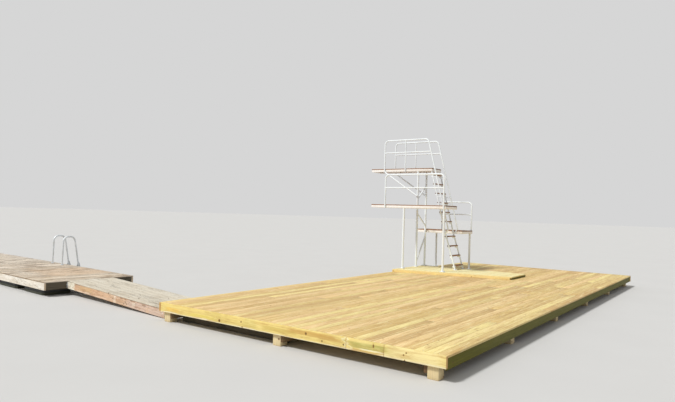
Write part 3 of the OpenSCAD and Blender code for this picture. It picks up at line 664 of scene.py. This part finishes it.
def boards(boxes, body, draw, along=None, edge=EDGE, cup=0.0006, runs=3, wear=0.0, sink=0.0,
           heart=(0.4, 0.02, 0.09)):
    """Sawn boards, one for each box: the section carried along the board, drawn in at its ends.

    The middle of the wide faces rises or sinks by up to cup, and the whole board sinks by up to sink.
    Wear moves each point out or in by sines of its place along and round the board, and each board is
    made thinner by as much, so that it stays in its box. The mark log is the place from the pith,
    which lies to the side by heart[0] of the width at most, heart[1] to heart[2] below or above the
    board, and wanders slowly along it.
    """
    low, size = boxes[:, 0], boxes[:, 1] - boxes[:, 0]
    order = list(np.argsort(-size.mean(axis=0)))
    if along is not None:
        order.remove(along)
        order.insert(0, along)
    a, b, c = order
    count = len(boxes)

    def pick(lowest, highest):
        return draw.uniform(lowest, highest, count)[:, None, None]

    length = size[:, a]
    half_b = size[:, b] / 2 - wear * RIPPLE_PEAK
    half_c = size[:, c] / 2 - wear * RIPPLE_PEAK - cup
    inner = edge + (length[:, None] - 2 * edge) * np.linspace(0, 1, runs + 1)
    run = np.hstack([np.zeros((count, 1)), inner, length[:, None]])[:, :, None]
    reach = np.array([END_REACH] + [1.0] * (runs + 1) + [END_REACH])[None, :, None] * edge
    phase = [pick(0, 2 * math.pi) for _ in range(3)]
    ripple = sum(np.sin(k * RIPPLE_RATE * run + turn * np.arange(len(WAY)) + k) / k
                 for k, turn in enumerate(phase, start=1))
    reach = reach + wear * ripple
    wide = SIDE[:, 0] * (half_b[:, None, None] - edge) + WAY[:, 0] * reach
    thin = SIDE[:, 1] * (half_c[:, None, None] - edge) + WAY[:, 1] * reach
    thin = thin + (SIDE[:, 0] == 0) * pick(-cup, cup) - pick(0, 1) * sink
    local = np.empty((*wide.shape, 3))
    local[..., a] = low[:, a][:, None, None] + run
    local[..., b] = (low[:, b] + size[:, b] / 2)[:, None, None] + wide
    local[..., c] = (low[:, c] + size[:, c] / 2)[:, None, None] + thin
    pith_b = pick(-heart[0], heart[0]) * 2 * half_b[:, None, None]
    pith_b = pith_b + pick(-PITH_WANDER[0], PITH_WANDER[0]) * run
    above = np.sign(pick(-1.0, 1.0))
    pith_c = above * (half_c[:, None, None] + pick(heart[1], heart[2]))
    pith_c = pith_c + pick(-PITH_WANDER[1], PITH_WANDER[1]) * run
    log = np.empty_like(local)
    log[..., 0] = run + pick(0, LOG_REACH)
    log[..., 1] = wide - pith_b
    log[..., 2] = thin - pith_c
    part = shell(local @ TURN[body])
    if np.linalg.det(np.eye(3)[order]) < 0:
        part["faces"] = [block[:, ::-1] for block in part["faces"]]
    end = np.zeros(wide.shape)
    end[:, [0, -1]] = 1.0
    tone = np.broadcast_to(pick(0, 1), end.shape)
    part["marks"] = {"log": log.reshape(-1, 3), "tone": tone.ravel(), "end": end.ravel()}
    return part


def timber(node, body, finish, seed, **shape):
    """Replaces a CAD node by sawn timbers, one for each of its solids."""
    part = boards(solids(node, body), body, np.random.default_rng(seed), **shape)
    stand_in(node, node + "_timber", part, finish, body)


def cut_slab(slab, along, width, gap, joints=None):
    """Boxes of the boards that fill a slab: rows across it, each row cut at its joints."""
    across = 1 - along
    span = slab[1, across] - slab[0, across]
    rows = round((span + gap) / (width + gap))
    board = (span - (rows - 1) * gap) / rows
    boxes = []
    for row in range(rows):
        start = slab[0, across] + row * (board + gap)
        cuts = [slab[0, along], *(joints(row) if joints else []), slab[1, along]]
        for k, (begin, stop) in enumerate(zip(cuts[:-1], cuts[1:])):
            box = slab.copy()
            box[:, across] = start, start + board
            box[:, along] = begin + (BUTT_GAP / 2 if k else 0), stop
            box[1, along] -= BUTT_GAP / 2 if k < len(cuts) - 2 else 0
            boxes.append(box)
    return np.array(boxes)


def fixings(boxes, along, supports, draw, inset=SCREW_IN):
    """Places of two screws in every board over each support line, kept off the board's ends."""
    across = 1 - along
    spots = []
    for box in boxes:
        begin, stop = box[:, along]
        near = [at for at in supports if begin - SUPPORT_REACH < at < stop + SUPPORT_REACH]
        near = np.clip(near, begin + END_IN, stop - END_IN)
        for side in (box[0, across] + inset, box[1, across] - inset):
            spot = np.empty((len(near), 3))
            spot[:, along] = near
            spot[:, across] = side
            spot[:, 2] = box[1, 2]
            spots.append(spot)
    spots = np.concatenate(spots)
    spots[:, :2] += draw.normal(0, SCREW_STRAY, (len(spots), 2))
    return spots


def turned(profile, places, axis, sides):
    """Small turned bodies: a line of radius and height points carried round an axis at each place."""
    axis = unit(np.broadcast_to(axis, (len(places), 3)))
    helper = np.where(np.abs(axis[:, 2:]) > 0.9, [[1.0, 0.0, 0.0]], [[0.0, 0.0, 1.0]])
    first = unit(np.cross(helper, axis))
    second = np.cross(axis, first)
    radius, height = np.array(profile, dtype=float).T
    angle = (np.arange(sides) * 2 * math.pi / sides)[:, None]
    out = first[:, None] * np.cos(angle) + second[:, None] * np.sin(angle)
    return shell(np.asarray(places)[:, None, None] + out[:, None] * radius[None, :, None, None]
                 + axis[:, None, None] * height[None, :, None, None])


SCREW = [(0.0030, -0.002), (0.0044, 0.0), (0.0040, 0.0006), (0.0020, 0.0007), (0.0014, -0.0008)]
NAIL = [(0.0025, -0.002), (0.0042, 0.0), (0.0040, 0.0008), (0.0024, 0.0014)]
WASHER = [(0.015, 0.0), (0.015, 0.0025), (0.009, 0.003)]
NUT = [(0.0105, 0.002), (0.0115, 0.003), (0.0115, 0.010), (0.0100, 0.0115)]
STUD = [(0.006, 0.003), (0.006, 0.017), (0.005, 0.018)]
COACH_HEAD = [(0.011, 0.0), (0.0105, 0.0025), (0.008, 0.0045), (0.004, 0.0056)]
PIN_CAP = [(0.017, 0.0008), (0.017, 0.004), (0.010, 0.0055), (0.009, 0.009), (0.007, 0.010)]


def bolts(places, axis):
    """Washer, nut and stud end at each place."""
    return join([turned(WASHER, places, axis, 16), turned(NUT, places, axis, 6),
                 turned(STUD, places, axis, 10)])


def in_place(spots, body):
    """Points from a body's own directions into the frame."""
    return np.asarray(spots) @ TURN[body]


def middles(node, body, axis):
    """Middle of each of a node's solids along one of its body's directions."""
    return np.unique(np.round(solids(node, body)[:, :, axis].mean(axis=1), 4))


def new_deck():
    """Deck boards along the shore side, with butt joints on the joists, and their screws.

    Each row has its first joint on another joist, and its second one a board's length on.
    """
    draw = np.random.default_rng(11)
    node = "deck_planking"
    slab = solids(node, "deck")[0]
    joists = middles("deck_joists", "deck", 0)
    starts = [6, 10, 3, 8, 12, 5, 9, 2, 7, 11, 4]

    def joints(row):
        return list(joists[starts[row % len(starts)]::JOISTS_A_BOARD][:2])

    boxes = cut_slab(slab, 0, DECK_BOARD, DECK_GAP, joints)
    part = boards(boxes, "deck", draw, along=0, runs=8)
    stand_in(node, "deck_boards", part, "deck", "deck")
    lines = [slab[0, 0] + FASCIA_IN, *joists, *middles("back_rim", "deck", 0)]
    spots = fixings(boxes, 0, lines, draw)
    add_piece("deck_screws", turned(SCREW, spots, UP, 8), "zinc", "deck")


def step():
    """The step's boards, drawn out square and then squeezed toward the back edge up to its slanted front."""
    slab = solids("step_planking", "deck")[0]
    start, back = slab[:, 0]
    shore, lake = slab[:, 1]
    corners = corners_of("step_planking")
    skew = corners[corners[:, 1] < shore + TOLERANCE, 0].min() - start

    def slant(points):
        share = (lake - points[:, 1]) / (lake - shore)
        points[:, 0] = back - (back - points[:, 0]) * (1 - share * skew / (back - start))
        return points

    draw = np.random.default_rng(12)
    boxes = cut_slab(slab, 0, DECK_BOARD, DECK_GAP)
    part = boards(boxes, "deck", draw, along=0)
    slant(part["points"])
    stand_in("step_planking", "step_boards", part, "step", "deck")
    runners = np.linspace(start + RIM / 2, back - RIM / 2, RUNNERS)
    spots = slant(fixings(boxes, 0, runners, draw))
    add_piece("step_screws", turned(SCREW, spots, UP, 8), "zinc", "deck")
    ends = solids("step_ends", "deck")
    ends[:, 0, 0] = start
    ends = ends[np.argsort(ends[:, 0, 1])]
    # The step's shore end board takes the rim finish, whose dark olive is painted shade
    for side, finish, box in (("shore", "rim", ends[:1]), ("lake", "step_front", ends[1:])):
        part = boards(box, "deck", draw, along=0)
        slant(part["points"])
        stand_in("step_ends", "step_" + side + "_end_board", part, finish, "deck")
    low_z, high_z = ends[0, :, 2]
    parts = []
    for at in runners:
        box = [[at - RIM / 2, shore + RIM, low_z], [at + RIM / 2, lake - RIM, high_z]]
        part = boards(np.array([box]), "deck", draw, along=1)
        place = np.stack([np.full(len(part["points"]), at), part["points"][:, 1]], axis=1)
        part["points"][:, 0] += slant(place)[:, 0] - at
        parts.append(part)
    stand_in("step_runners", "step_runner_boards", join(parts), "step_front", "deck")


def platform(level, fields):
    """Brown boards along a tower platform, bolted to the cross bars of its steel frame."""
    draw = np.random.default_rng(20 + fields)
    node = level + "_platform_planking"
    slab = solids(node, "deck")[0]
    boxes = cut_slab(slab, 1, TREAD_BOARD, TREAD_GAP)
    part = boards(boxes, "deck", draw, along=1, edge=0.004)
    stand_in(node, level + "_platform_boards", part, "tread", "deck")
    bars = np.linspace(slab[0, 1] + FRAME_BAR / 2, slab[1, 1] - FRAME_BAR / 2, fields + 1)
    spots = fixings(boxes, 1, bars, draw, PLATFORM_BOLT_IN)
    add_piece(level + "_platform_bolts", turned(COACH_HEAD, spots, UP, 10), "dull_zinc", "deck")


def old_planking(node, name, body, finish, along, width, gap, supports, seed):
    """Weathered boards, a little uneven, nailed down over their supports."""
    draw = np.random.default_rng(seed)
    boxes = np.concatenate([cut_slab(slab, along, width, gap) for slab in solids(node, body)])
    part = boards(boxes, body, draw, along=along, edge=0.005, cup=0.002, runs=6, wear=0.0008, sink=0.0025)
    stand_in(node, name + "_boards", part, finish, body)
    spots = in_place(fixings(boxes, along, supports, draw) - UP * NAIL_SINK, body)
    add_piece(name + "_nails", turned(NAIL, spots, TURN[body][2], 8), "zinc", body)


def rounded(box, body, corner_r, edge_r, belts=(), groove=0.0):
    """A block with round upright corners: its plan, a rectangle with round corners, is carried up.

    The plan is drawn in by a quarter circle at both edges, and by the depth of the grooves at the belts.
    """
    low, high = box
    side, way = round_corners(9)
    arc = np.linspace(0, math.pi / 2, 5)
    drop, drawn = edge_r * (1 - np.sin(arc)), edge_r * (1 - np.cos(arc))
    belt = np.array([[z + up, depth] for z in belts
                     for up, depth in ((0.0, 0.0), (0.005, groove), (0.017, groove), (0.022, 0.0))])
    belt = belt.reshape(-1, 2)
    rise = np.concatenate([drop[::-1], belt[:, 0], high[2] - low[2] - drop]) + low[2]
    inset = np.concatenate([drawn[::-1], belt[:, 1], drawn])
    flat = side * ((high - low)[:2] / 2 - corner_r) + way * (corner_r - inset[:, None, None])
    flat = flat + (high + low)[:2] / 2
    return shell(np.dstack([flat, np.broadcast_to(rise[:, None], flat.shape[:2])]) @ TURN[body])


def floats():
    """Moulded floats with two grooves round each."""
    node, body = "pontoon_floats", "pontoon"
    parts = [rounded(box, body, FLOAT_CORNER, FLOAT_EDGE, GROOVES_UP, GROOVE) for box in solids(node, body)]
    stand_in(node, "ribbed_floats", join(parts), "plastic", body)


def sweep(path, first, radius, sides, closed=False):
    """A round bar along a path: at each point a ring in the plane across the path, from a given way out."""
    ahead = np.roll(path, -1, 0) - np.roll(path, 1, 0)
    if not closed:
        ahead[0], ahead[-1] = path[1] - path[0], path[-1] - path[-2]
    ahead = unit(ahead)
    first = unit(first - ahead * (first * ahead).sum(axis=1, keepdims=True))
    second = np.cross(ahead, first)
    angle = (np.arange(sides) * 2 * math.pi / sides)[:, None]
    ways = first[:, None] * np.cos(angle) + second[:, None] * np.sin(angle)
    return shell(path[:, None] + ways * np.broadcast_to(radius, len(path))[:, None, None], closed)


# Turns round a weld and its rippled thickness there, as a share of its radius
ROUND = np.linspace(0, 2 * math.pi, 28, endpoint=False)[:, None]
RIPPLED = 1 + 0.15 * np.sin(9 * ROUND[:, 0])


def bead(centre, branch, branch_r, main, main_r, size=BEAD_R):
    """Weld where a tube meets another: the line on the main tube straight under the branch's wall."""
    branch = unit(branch)
    across = unit(np.cross(branch, main))
    out = np.cross(across, branch) * np.cos(ROUND) + across * np.sin(ROUND)
    rise = np.sqrt(np.maximum(main_r ** 2 - (branch_r * np.sin(ROUND)) ** 2, 0))
    path = np.asarray(centre) + out * branch_r + branch * rise
    return sweep(path, out, size * RIPPLED, 6, closed=True)


def ring_bead(centre, axis, radius):
    """Weld round a tube's flat end: a circle across its axis, its thickness rippled."""
    first = unit(np.cross(axis, ASKEW))
    out = first * np.cos(ROUND) + np.cross(axis, first) * np.sin(ROUND)
    return sweep(np.asarray(centre) + out * radius, out, BEAD_R * RIPPLED, 6, closed=True)


def seam(start, end, out):
    """Straight weld from start to end, its thickness rippled along it."""
    share = np.linspace(0, 1, 12)[:, None]
    path = np.asarray(start) * (1 - share) + np.asarray(end) * share
    ripple = BEAD_R * (1 + 0.15 * np.sin(40 * share[:, 0]))
    return sweep(path, np.broadcast_to(np.asarray(out, dtype=float), path.shape), ripple, 6)


def bar_bead(x, y, z0, z1):
    """Weld round the end of a box section bar that meets a side at x: the outline of its section."""
    half = np.array([FRAME_BAR / 2, (z1 - z0) / 2])
    outline = SIDE * (half - BAR_EDGE) + WAY * BAR_EDGE + [y, (z0 + z1) / 2]
    path = np.column_stack([np.full(len(outline), x), outline])
    out = np.column_stack([np.zeros(len(WAY)), WAY])
    return sweep(path, out, BEAD_R, 6, closed=True)


def steel_frame(level, fields):
    """A platform's frame of box section: two long bars, cross bars between them, and their welds."""
    node = level + "_platform_frame"
    (x0, y0, _), (x1, y1, _) = solids(level + "_platform_planking", "deck")[0]
    (_, _, z0), (reach, _, z1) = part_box(node)
    half = FRAME_BAR / 2
    lines = np.linspace(y0 + half, y1 - half, fields + 1)
    left, right = x0 + FRAME_BAR, x1 - FRAME_BAR
    long_bars = [[[x, y0, z0], [x + FRAME_BAR, y1, z1]] for x in (x0, right)]
    cross = [[[left, y - half, z0], [right, y + half, z1]] for y in lines]
    if reach > x1 + TOLERANCE:
        cross.append([[x1, TOWER_Y - half, z0], [reach, TOWER_Y + half, z1]])
    draw = np.random.default_rng(60 + fields)
    shape = dict(edge=BAR_EDGE, cup=0.0, runs=1)
    bars = [boards(np.array(long_bars), "deck", draw, along=1, **shape),
            boards(np.array(cross), "deck", draw, along=0, **shape)]
    stand_in(node, node + "_bars", join(bars), "frame_paint", "deck")
    welds = [bar_bead(x, y, z0, z1) for y in lines for x in (left, right)]
    add_piece(node + "_welds", join(welds), "frame_paint", "deck")


def base_plates():
    """Base plates with rounded corners and four bolts each, and the weld round each post's foot."""
    node = "tower_base_plates"
    boxes = solids(node, "deck")
    parts = [rounded(box, "deck", BASE_CORNER, BASE_EDGE) for box in boxes]
    stand_in(node, "tower_foot_plates", join(parts), "zinc", "deck")
    tops = boxes.mean(axis=1)
    tops[:, 2] = boxes[:, 1, 2]
    away = (boxes[0, 1] - boxes[0, 0])[0] / 2 - BOLT_IN
    corners = np.array([[a * away, b * away, 0.0] for a in (-1, 1) for b in (-1, 1)])
    spots = (tops[:, None] + corners).reshape(-1, 3)
    add_piece("tower_foot_bolts", bolts(spots, UP), "zinc", "deck")
    return tops


def post_welds(tops):
    """Welds at the feet and heads of the posts, and where the braces meet the tall posts."""
    beads = [ring_bead(top, UP, POST_R) for top in tops]
    for node in ("tower_front_posts", "tower_tall_posts", "tower_rear_posts"):
        for low, high in solids(node, "deck"):
            beads.append(ring_bead([*(low + high)[:2] / 2, high[2]], UP, POST_R))
    tall = solids("tower_tall_posts", "deck").mean(axis=1)
    for points in clusters("tower_braces", "deck"):
        middle = points.mean(axis=0)
        way = np.linalg.svd(points - middle, full_matrices=False)[2][0]
        for post in tall:
            centre = middle + way * (post[0] - middle[0]) / way[0]
            inward = way * np.sign((middle - centre) @ way)
            beads.append(bead(centre, inward, RAIL_R, UP, POST_R))
    add_piece("post_welds", join(beads), "paint", "deck")


def upper_ladder_y(z):
    """Middle line of the upper ladder's side at height z, back from its head."""
    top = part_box("near_ladder_side")[1]
    head_y, head_z = top[1] - RAIL_R * math.cos(LADDER_LEAN), top[2] - RAIL_R * math.sin(LADDER_LEAN)
    return head_y - (head_z - z) * math.tan(LADDER_LEAN)


def frame_seams(level, x, lines):
    """Upright seams at each line on the long side of a platform's frame that a railing at x stands by."""
    low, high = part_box(level + "_platform_frame")
    face = low[0] if x < low[0] else high[0]
    out = [math.copysign(1, x - face), 0, 0]
    return [seam([face, y, low[2]], [face, y, high[2]], out) for y in lines]


def railing_welds():
    """Welds where middle rails and uprights meet the bent tubes, and seams along the platform frames."""
    beads = []
    mid_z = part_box("top_platform_planking")[1][2] + MID_RAIL_UP
    for node in ("near_top_railing", "far_top_railing"):
        low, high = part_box(node)
        x = middle_of(node)[0]
        rail_y, rail_z = high[1] - RAIL_R - BEND_SWELL, high[2] - RAIL_R - BEND_SWELL
        hand_y = upper_ladder_y(mid_z) - HANDRAIL_OFF
        mid_y = rail_y + UPRIGHT_SHARE * (hand_y - rail_y)
        beads += [bead([x, rail_y, mid_z], -ALONG, MID_RAIL_R, UP, RAIL_R),
                  bead([x, hand_y, mid_z], ALONG, MID_RAIL_R, LEAN, RAIL_R),
                  bead([x, mid_y, rail_z], -UP, MID_RAIL_R, ALONG, RAIL_R),
                  bead([x, mid_y, mid_z], UP, MID_RAIL_R, ALONG, MID_RAIL_R),
                  bead([x, mid_y, mid_z], -UP, MID_RAIL_R, ALONG, MID_RAIL_R)]
        beads += frame_seams("top", x, (mid_y - SEAM_OFF, mid_y + SEAM_OFF))
    for level in ("middle", "lower"):
        low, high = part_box(level + "_railing")
        x = middle_of(level + "_railing")[0]
        mid_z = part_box(level + "_platform_planking")[1][2] + MID_RAIL_UP
        for y, way in ((low[1] + RAIL_R, ALONG), (high[1] - RAIL_R, -ALONG)):
            beads.append(bead([x, y, mid_z], way, MID_RAIL_R, UP, RAIL_R))
            beads += frame_seams(level, x, (y - SEAM_OFF, y + SEAM_OFF))
    add_piece("railing_welds", join(beads), "paint", "deck")


def curve(start, start_way, end, end_way):
    """Points of the cubic curve between two points with a given way at each."""
    t = np.linspace(0, 1, CURVE_POINTS)[:, None]
    start, start_way, end, end_way = (np.asarray(v, dtype=float) for v in (start, start_way, end, end_way))
    return ((2 * t ** 3 - 3 * t ** 2 + 1) * start + (t ** 3 - 2 * t ** 2 + t) * start_way
            + (3 * t ** 2 - 2 * t ** 3) * end + (t ** 3 - t ** 2) * end_way)


def handrail_ties():
    """Short rods from the ladder sides to the handrails, and the handrails' feet bent back to them."""
    rods, feet = [], []
    for sign, side_node, rail_node in ((-1, "near_ladder_side", "near_top_railing"),
                                       (1, "far_ladder_side", "far_top_railing")):
        side_x, rail_x = middle_of(side_node)[0], middle_of(rail_node)[0]
        for z in TIE_LEVELS:
            side = np.array([side_x, upper_ladder_y(z), z])
            rail = np.array([rail_x, upper_ladder_y(z) - HANDRAIL_OFF, z])
            way = unit(rail - side)
            inset = way * RAIL_R * TIE_SINK
            path = np.linspace(side + inset, rail - inset, 3)
            rods += [sweep(path, np.broadcast_to(UP, path.shape), TIE_R, 12),
                     bead(side, way, TIE_R, LEAN, RAIL_R, TIE_BEAD_R),
                     bead(rail, -way, TIE_R, LEAN, RAIL_R, TIE_BEAD_R)]
        foot_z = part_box(rail_node)[0][2] + RAIL_R * math.sin(LADDER_LEAN)
        foot_y = upper_ladder_y(foot_z)
        foot = np.array([rail_x, foot_y - HANDRAIL_OFF, foot_z])
        outward = np.array([sign, 1.0, 1.0])
        knee = np.array([side_x, foot_y, foot_z]) + KNEE * outward
        path = curve(foot + LEAN * FOOT_SINK, -LEAN * FOOT_REACH, knee, KNEE_WAY * outward)
        feet.append(sweep(path, np.broadcast_to([1.0, 0.0, 0.0], path.shape), RAIL_R, 24))
    add_piece("handrail_ties", join(rods), "paint", "deck")
    add_piece("handrail_feet", join(feet), "paint", "deck")


def ladder_fittings():
    """Angle plates under the treads' ends with bolts through the treads, and foot plates on the step."""
    plates, spots = [], []
    for (low_x, low_y, under), (high_x, high_y, top) in solids("ladder_treads", "deck"):
        y0, y1 = low_y + ANGLE_IN, high_y - ANGLE_IN
        for x, wall in ((low_x, low_x), (high_x - ANGLE_W, high_x - ANGLE_T)):
            plates += [[[x, y0, under - ANGLE_T], [x + ANGLE_W, y1, under]],
                       [[wall, y0, under - ANGLE_W], [wall + ANGLE_T, y1, under - ANGLE_T]]]
            spots += [[x + ANGLE_W / 2, y, top] for y in (low_y + TREAD_BOLT_IN, high_y - TREAD_BOLT_IN)]
    draw = np.random.default_rng(70)
    part = boards(np.array(plates), "deck", draw, along=1, edge=0.001, cup=0.0, runs=1)
    add_piece("tread_angles", part, "paint", "deck")
    add_piece("tread_bolts", turned(COACH_HEAD, spots, UP, 10), "dull_zinc", "deck")
    feet, spots = [], []
    for node in ("near_ladder_side", "far_ladder_side"):
        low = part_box(node)[0]
        foot = np.array([middle_of(node)[0], low[1] + RAIL_R, low[2]])
        reach = np.array([*FOOT_HALF, 0.0])
        box = np.array([foot - reach, foot + reach + UP * FOOT_T])
        feet.append(rounded(box, "deck", PLATE_CORNER, PLATE_EDGE))
        spots += [foot + UP * FOOT_T + ALONG * off for off in (-FOOT_BOLT_OFF, FOOT_BOLT_OFF)]
    add_piece("ladder_foot_plates", join(feet), "zinc", "deck")
    add_piece("ladder_foot_bolts", bolts(spots, UP), "zinc", "deck")


def hinge_fittings():
    """Low coach screws in the deck's hinge plates, bolts in the pontoon's, and caps on the pins' ends."""
    axis = TURN["gangway"][0]
    for node, body, way in (("gangway_hinge_brackets", "deck", 1.0),
                            ("pontoon_hinge_brackets", "pontoon", -1.0)):
        spots, caps, ways = [], [], []
        boxes = solids(node, body)
        middle_x = boxes[:, :, 0].mean()
        for points, (low, high) in zip(clusters(node, body), boxes):
            plate_y = low[1] + PLATE_T if way > 0 else high[1] - PLATE_T
            spots += [[x, plate_y, z] for x in (low[0] + BOLT_IN, high[0] - BOLT_IN)
                      for z in (low[2] + BOLT_IN, high[2] - BOLT_IN)]
            outward = axis * np.sign((low[0] + high[0]) / 2 - middle_x)
            world = points @ TURN[body]
            reach = world @ outward
            caps.append(world[reach > reach.max() - PIN_END].mean(axis=0))
            ways.append(outward)
        spots = in_place(spots, body)
        out = TURN[body][1] * way
        part = turned(COACH_HEAD, spots, out, 16) if body == "deck" else bolts(spots, out)
        add_piece(node + "_bolts", part, "zinc", body)
        part = turned(PIN_CAP, caps, ways, 20)
        add_piece(node + "_pin_caps", part, "zinc", body)


def flat_plate(outline, y, thick, body):
    """An upright plate: its outline in x and z carried across y, drawn in a little at both faces."""
    middle = outline.mean(axis=0)
    inner = middle + (outline - middle) * (1 - PLATE_EDGE / np.abs(outline - middle).max())
    half = thick / 2
    rings = [(inner, half), (outline, half - PLATE_EDGE), (outline, PLATE_EDGE - half), (inner, -half)]
    points = [np.column_stack([line[:, 0], np.full(len(line), y + off), line[:, 1]]) for line, off in rings]
    return shell(np.array(points) @ TURN[body])


# A gusset's outline in x and z, from the outer leg's middle at the strut's top
GUSSET = np.array([[-0.048, 0.0], [0.046, 0.0], [0.040, 0.044], [0.010, 0.124], [-0.016, 0.124],
                   [-0.050, 0.044]])


def hoop_fittings():
    """Screws in the hoops' foot plates, and a gusset plate on each strut that holds the outer leg."""
    body = "pontoon"
    brackets = solids("ladder_brackets", body)
    upper = brackets[:, 0, 2] > brackets[:, :, 2].mean()
    discs, struts = brackets[upper], brackets[~upper]
    tops = discs.mean(axis=1)
    tops[:, 2] = discs[:, 1, 2]
    turns = np.radians([45, 135, 225, 315])
    away = np.stack([np.cos(turns), np.sin(turns), np.zeros(4)], axis=1) * SCREW_RING_R
    spots = in_place((tops[:, None] + away).reshape(-1, 3), body)
    heads = np.array(COACH_HEAD) * SMALL_HEAD
    add_piece("hoop_foot_screws", turned(heads, spots, TURN[body][2], 10), "zinc", body)
    plates = []
    for low, high in struts:
        outline = GUSSET + [high[0] + RAIL_R, high[2]]
        plates.append(flat_plate(outline, (low[1] + high[1]) / 2, GUSSET_T, body))
    add_piece("hoop_gussets", join(plates), "worn_zinc", body)
    beads = [ring_bead(top, TURN[body][2], RAIL_R) for top in in_place(tops, body)]
    add_piece("hoop_foot_welds", join(beads), "zinc", body)


def studio():
    """Pale floor, a soft key from the front left, and an even pale sky; the camera sees the sky white."""
    floor = Finish("pale_floor")
    mottle = floor.noise(floor.place(), 0.8, 3.0)
    shade = floor.blend(floor.fade(mottle, 0.3, 0.7), (0.650, 0.650, 0.645, 1), (0.662, 0.662, 0.657, 1))
    floor.finish(shade, 0.9, floor.bump(mottle, 0.0001))
    mesh = bpy.data.meshes.new("floor")
    turns = np.linspace(0, 2 * math.pi, 96, endpoint=False)
    rim = FLOOR_R * np.column_stack([np.cos(turns), np.sin(turns), 0 * turns])
    mesh.from_pydata(rim.tolist(), [], [range(len(rim))])
    mesh.materials.append(floor.made)
    placed("floor", mesh)
    sky = Finish("sky", "worlds")
    rays = sky.add("ShaderNodeLightPath", {}).node.outputs
    seen = sky.calc("MAXIMUM", rays["Is Camera Ray"], rays["Is Glossy Ray"])
    level = sky.add("ShaderNodeMapRange", {"Value": seen, "To Min": SKY_LIGHT, "To Max": SKY_SEEN})
    light = sky.add("ShaderNodeBackground", {"Strength": level})
    sky.add("ShaderNodeOutputWorld", {"Surface": light}, output=slice(0, 0))
    bpy.context.scene.world = sky.made
    key = bpy.data.lights.new("key", "SUN")
    key.energy = KEY_POWER
    key.angle = KEY_SPREAD
    key.color = KEY_TINT
    lamp = placed("key", key)
    lamp.rotation_mode = "QUATERNION"
    lamp.rotation_quaternion = Vector(KEY_WAY).to_track_quat("-Z", "Y")
    bpy.context.scene.view_settings.view_transform = "Standard"


def camera():
    """The photographer's place and view: yaw from +X, pitch up, then roll."""
    yaw, pitch, roll = (math.radians(v) for v in (CAMERA_YAW, CAMERA_PITCH, CAMERA_ROLL))
    ahead = Vector((math.cos(yaw) * math.cos(pitch), math.sin(yaw) * math.cos(pitch), math.sin(pitch)))
    level = Vector((math.sin(yaw), -math.cos(yaw), 0.0))
    over = level.cross(ahead)
    right = level * math.cos(roll) + over * math.sin(roll)
    above = over * math.cos(roll) - level * math.sin(roll)
    lens = bpy.data.cameras.new("camera")
    lens.sensor_width = SENSOR_W
    lens.lens = FOCAL_PIXELS * SENSOR_W / PICTURE_W
    lens.clip_end = CAMERA_FAR
    view = placed("camera", lens)
    turn = Matrix((right, above, -ahead)).transposed().to_4x4()
    view.matrix_world = Matrix.Translation(CAMERA_PLACE) @ turn
    bpy.context.scene.camera = view


def coat(finish, *nodes):
    """Gives CAD nodes that keep their shape their finish."""
    for node in nodes:
        mesh = frame["nodes"][node].data
        mesh.materials.clear()
        mesh.materials.append(FINISHES[finish])


studio()
camera()
new_deck()
step()
timber("front_fascia", "deck", "front", 31, along=1, edge=0.004, runs=8)
timber("lake_rim", "deck", "front", 32, along=0, edge=0.004, runs=8)
# The shore rim's dark olive finish is painted shade
timber("shore_rim", "deck", "rim", 33, along=0, edge=0.004, runs=8)
timber("back_rim", "deck", "front", 34, along=1, edge=0.004, runs=8)
timber("deck_joists", "deck", "under", 35, along=1)
timber("deck_bearers", "deck", "under", 36, along=0)
timber("deck_posts", "deck", "post", 37, along=2, edge=0.008, heart=(0.1, -0.07, -0.04))
timber("old_sill", "deck", "dark", 38, along=1, edge=0.02, runs=30)
for storey, count in (("lower", 2), ("middle", 3), ("top", 3)):
    platform(storey, count)
    steel_frame(storey, count)
post_welds(base_plates())
railing_welds()
handrail_ties()
ladder_fittings()
hinge_fittings()
hoop_fittings()
timber("ladder_treads", "deck", "tread", 41, along=0, edge=0.006)
timber("gangway_sides", "gangway", "warm", 42, along=1, edge=0.004, runs=6, wear=0.0006)
timber("gangway_beams", "gangway", "dark", 43, along=0)
timber("pontoon_sides", "pontoon", "side", 44, along=1, edge=0.005, runs=8, wear=0.0008)
# The pontoon's end boards are darkened by the dark finish: painted shade
timber("pontoon_ends", "pontoon", "dark", 45, along=0, edge=0.004, runs=4, wear=0.0006)
timber("pontoon_beams", "pontoon", "dark", 46, along=1)
timber("bathing_treads", "pontoon", "tread", 47, along=1, edge=0.006)
old_planking("gangway_planking", "gangway", "gangway", "pale", 1, GANGWAY_BOARD, OLD_GAP,
             middles("gangway_beams", "gangway", 1), 51)
old_planking("pontoon_planking", "pontoon", "pontoon", "old", 0, OLD_BOARD, OLD_GAP,
             [*middles("pontoon_sides", "pontoon", 0), *middles("pontoon_beams", "pontoon", 0)], 52)
floats()
coat("paint", "tower_front_posts", "tower_tall_posts", "tower_rear_posts", "tower_braces",
     "near_top_railing", "far_top_railing", "middle_railing", "lower_railing", "near_ladder_side",
     "far_ladder_side")
coat("zinc", "gangway_hinge_brackets", "pontoon_hinge_brackets",
     "pontoon_couplings", "ladder_hoops", "ladder_brackets")
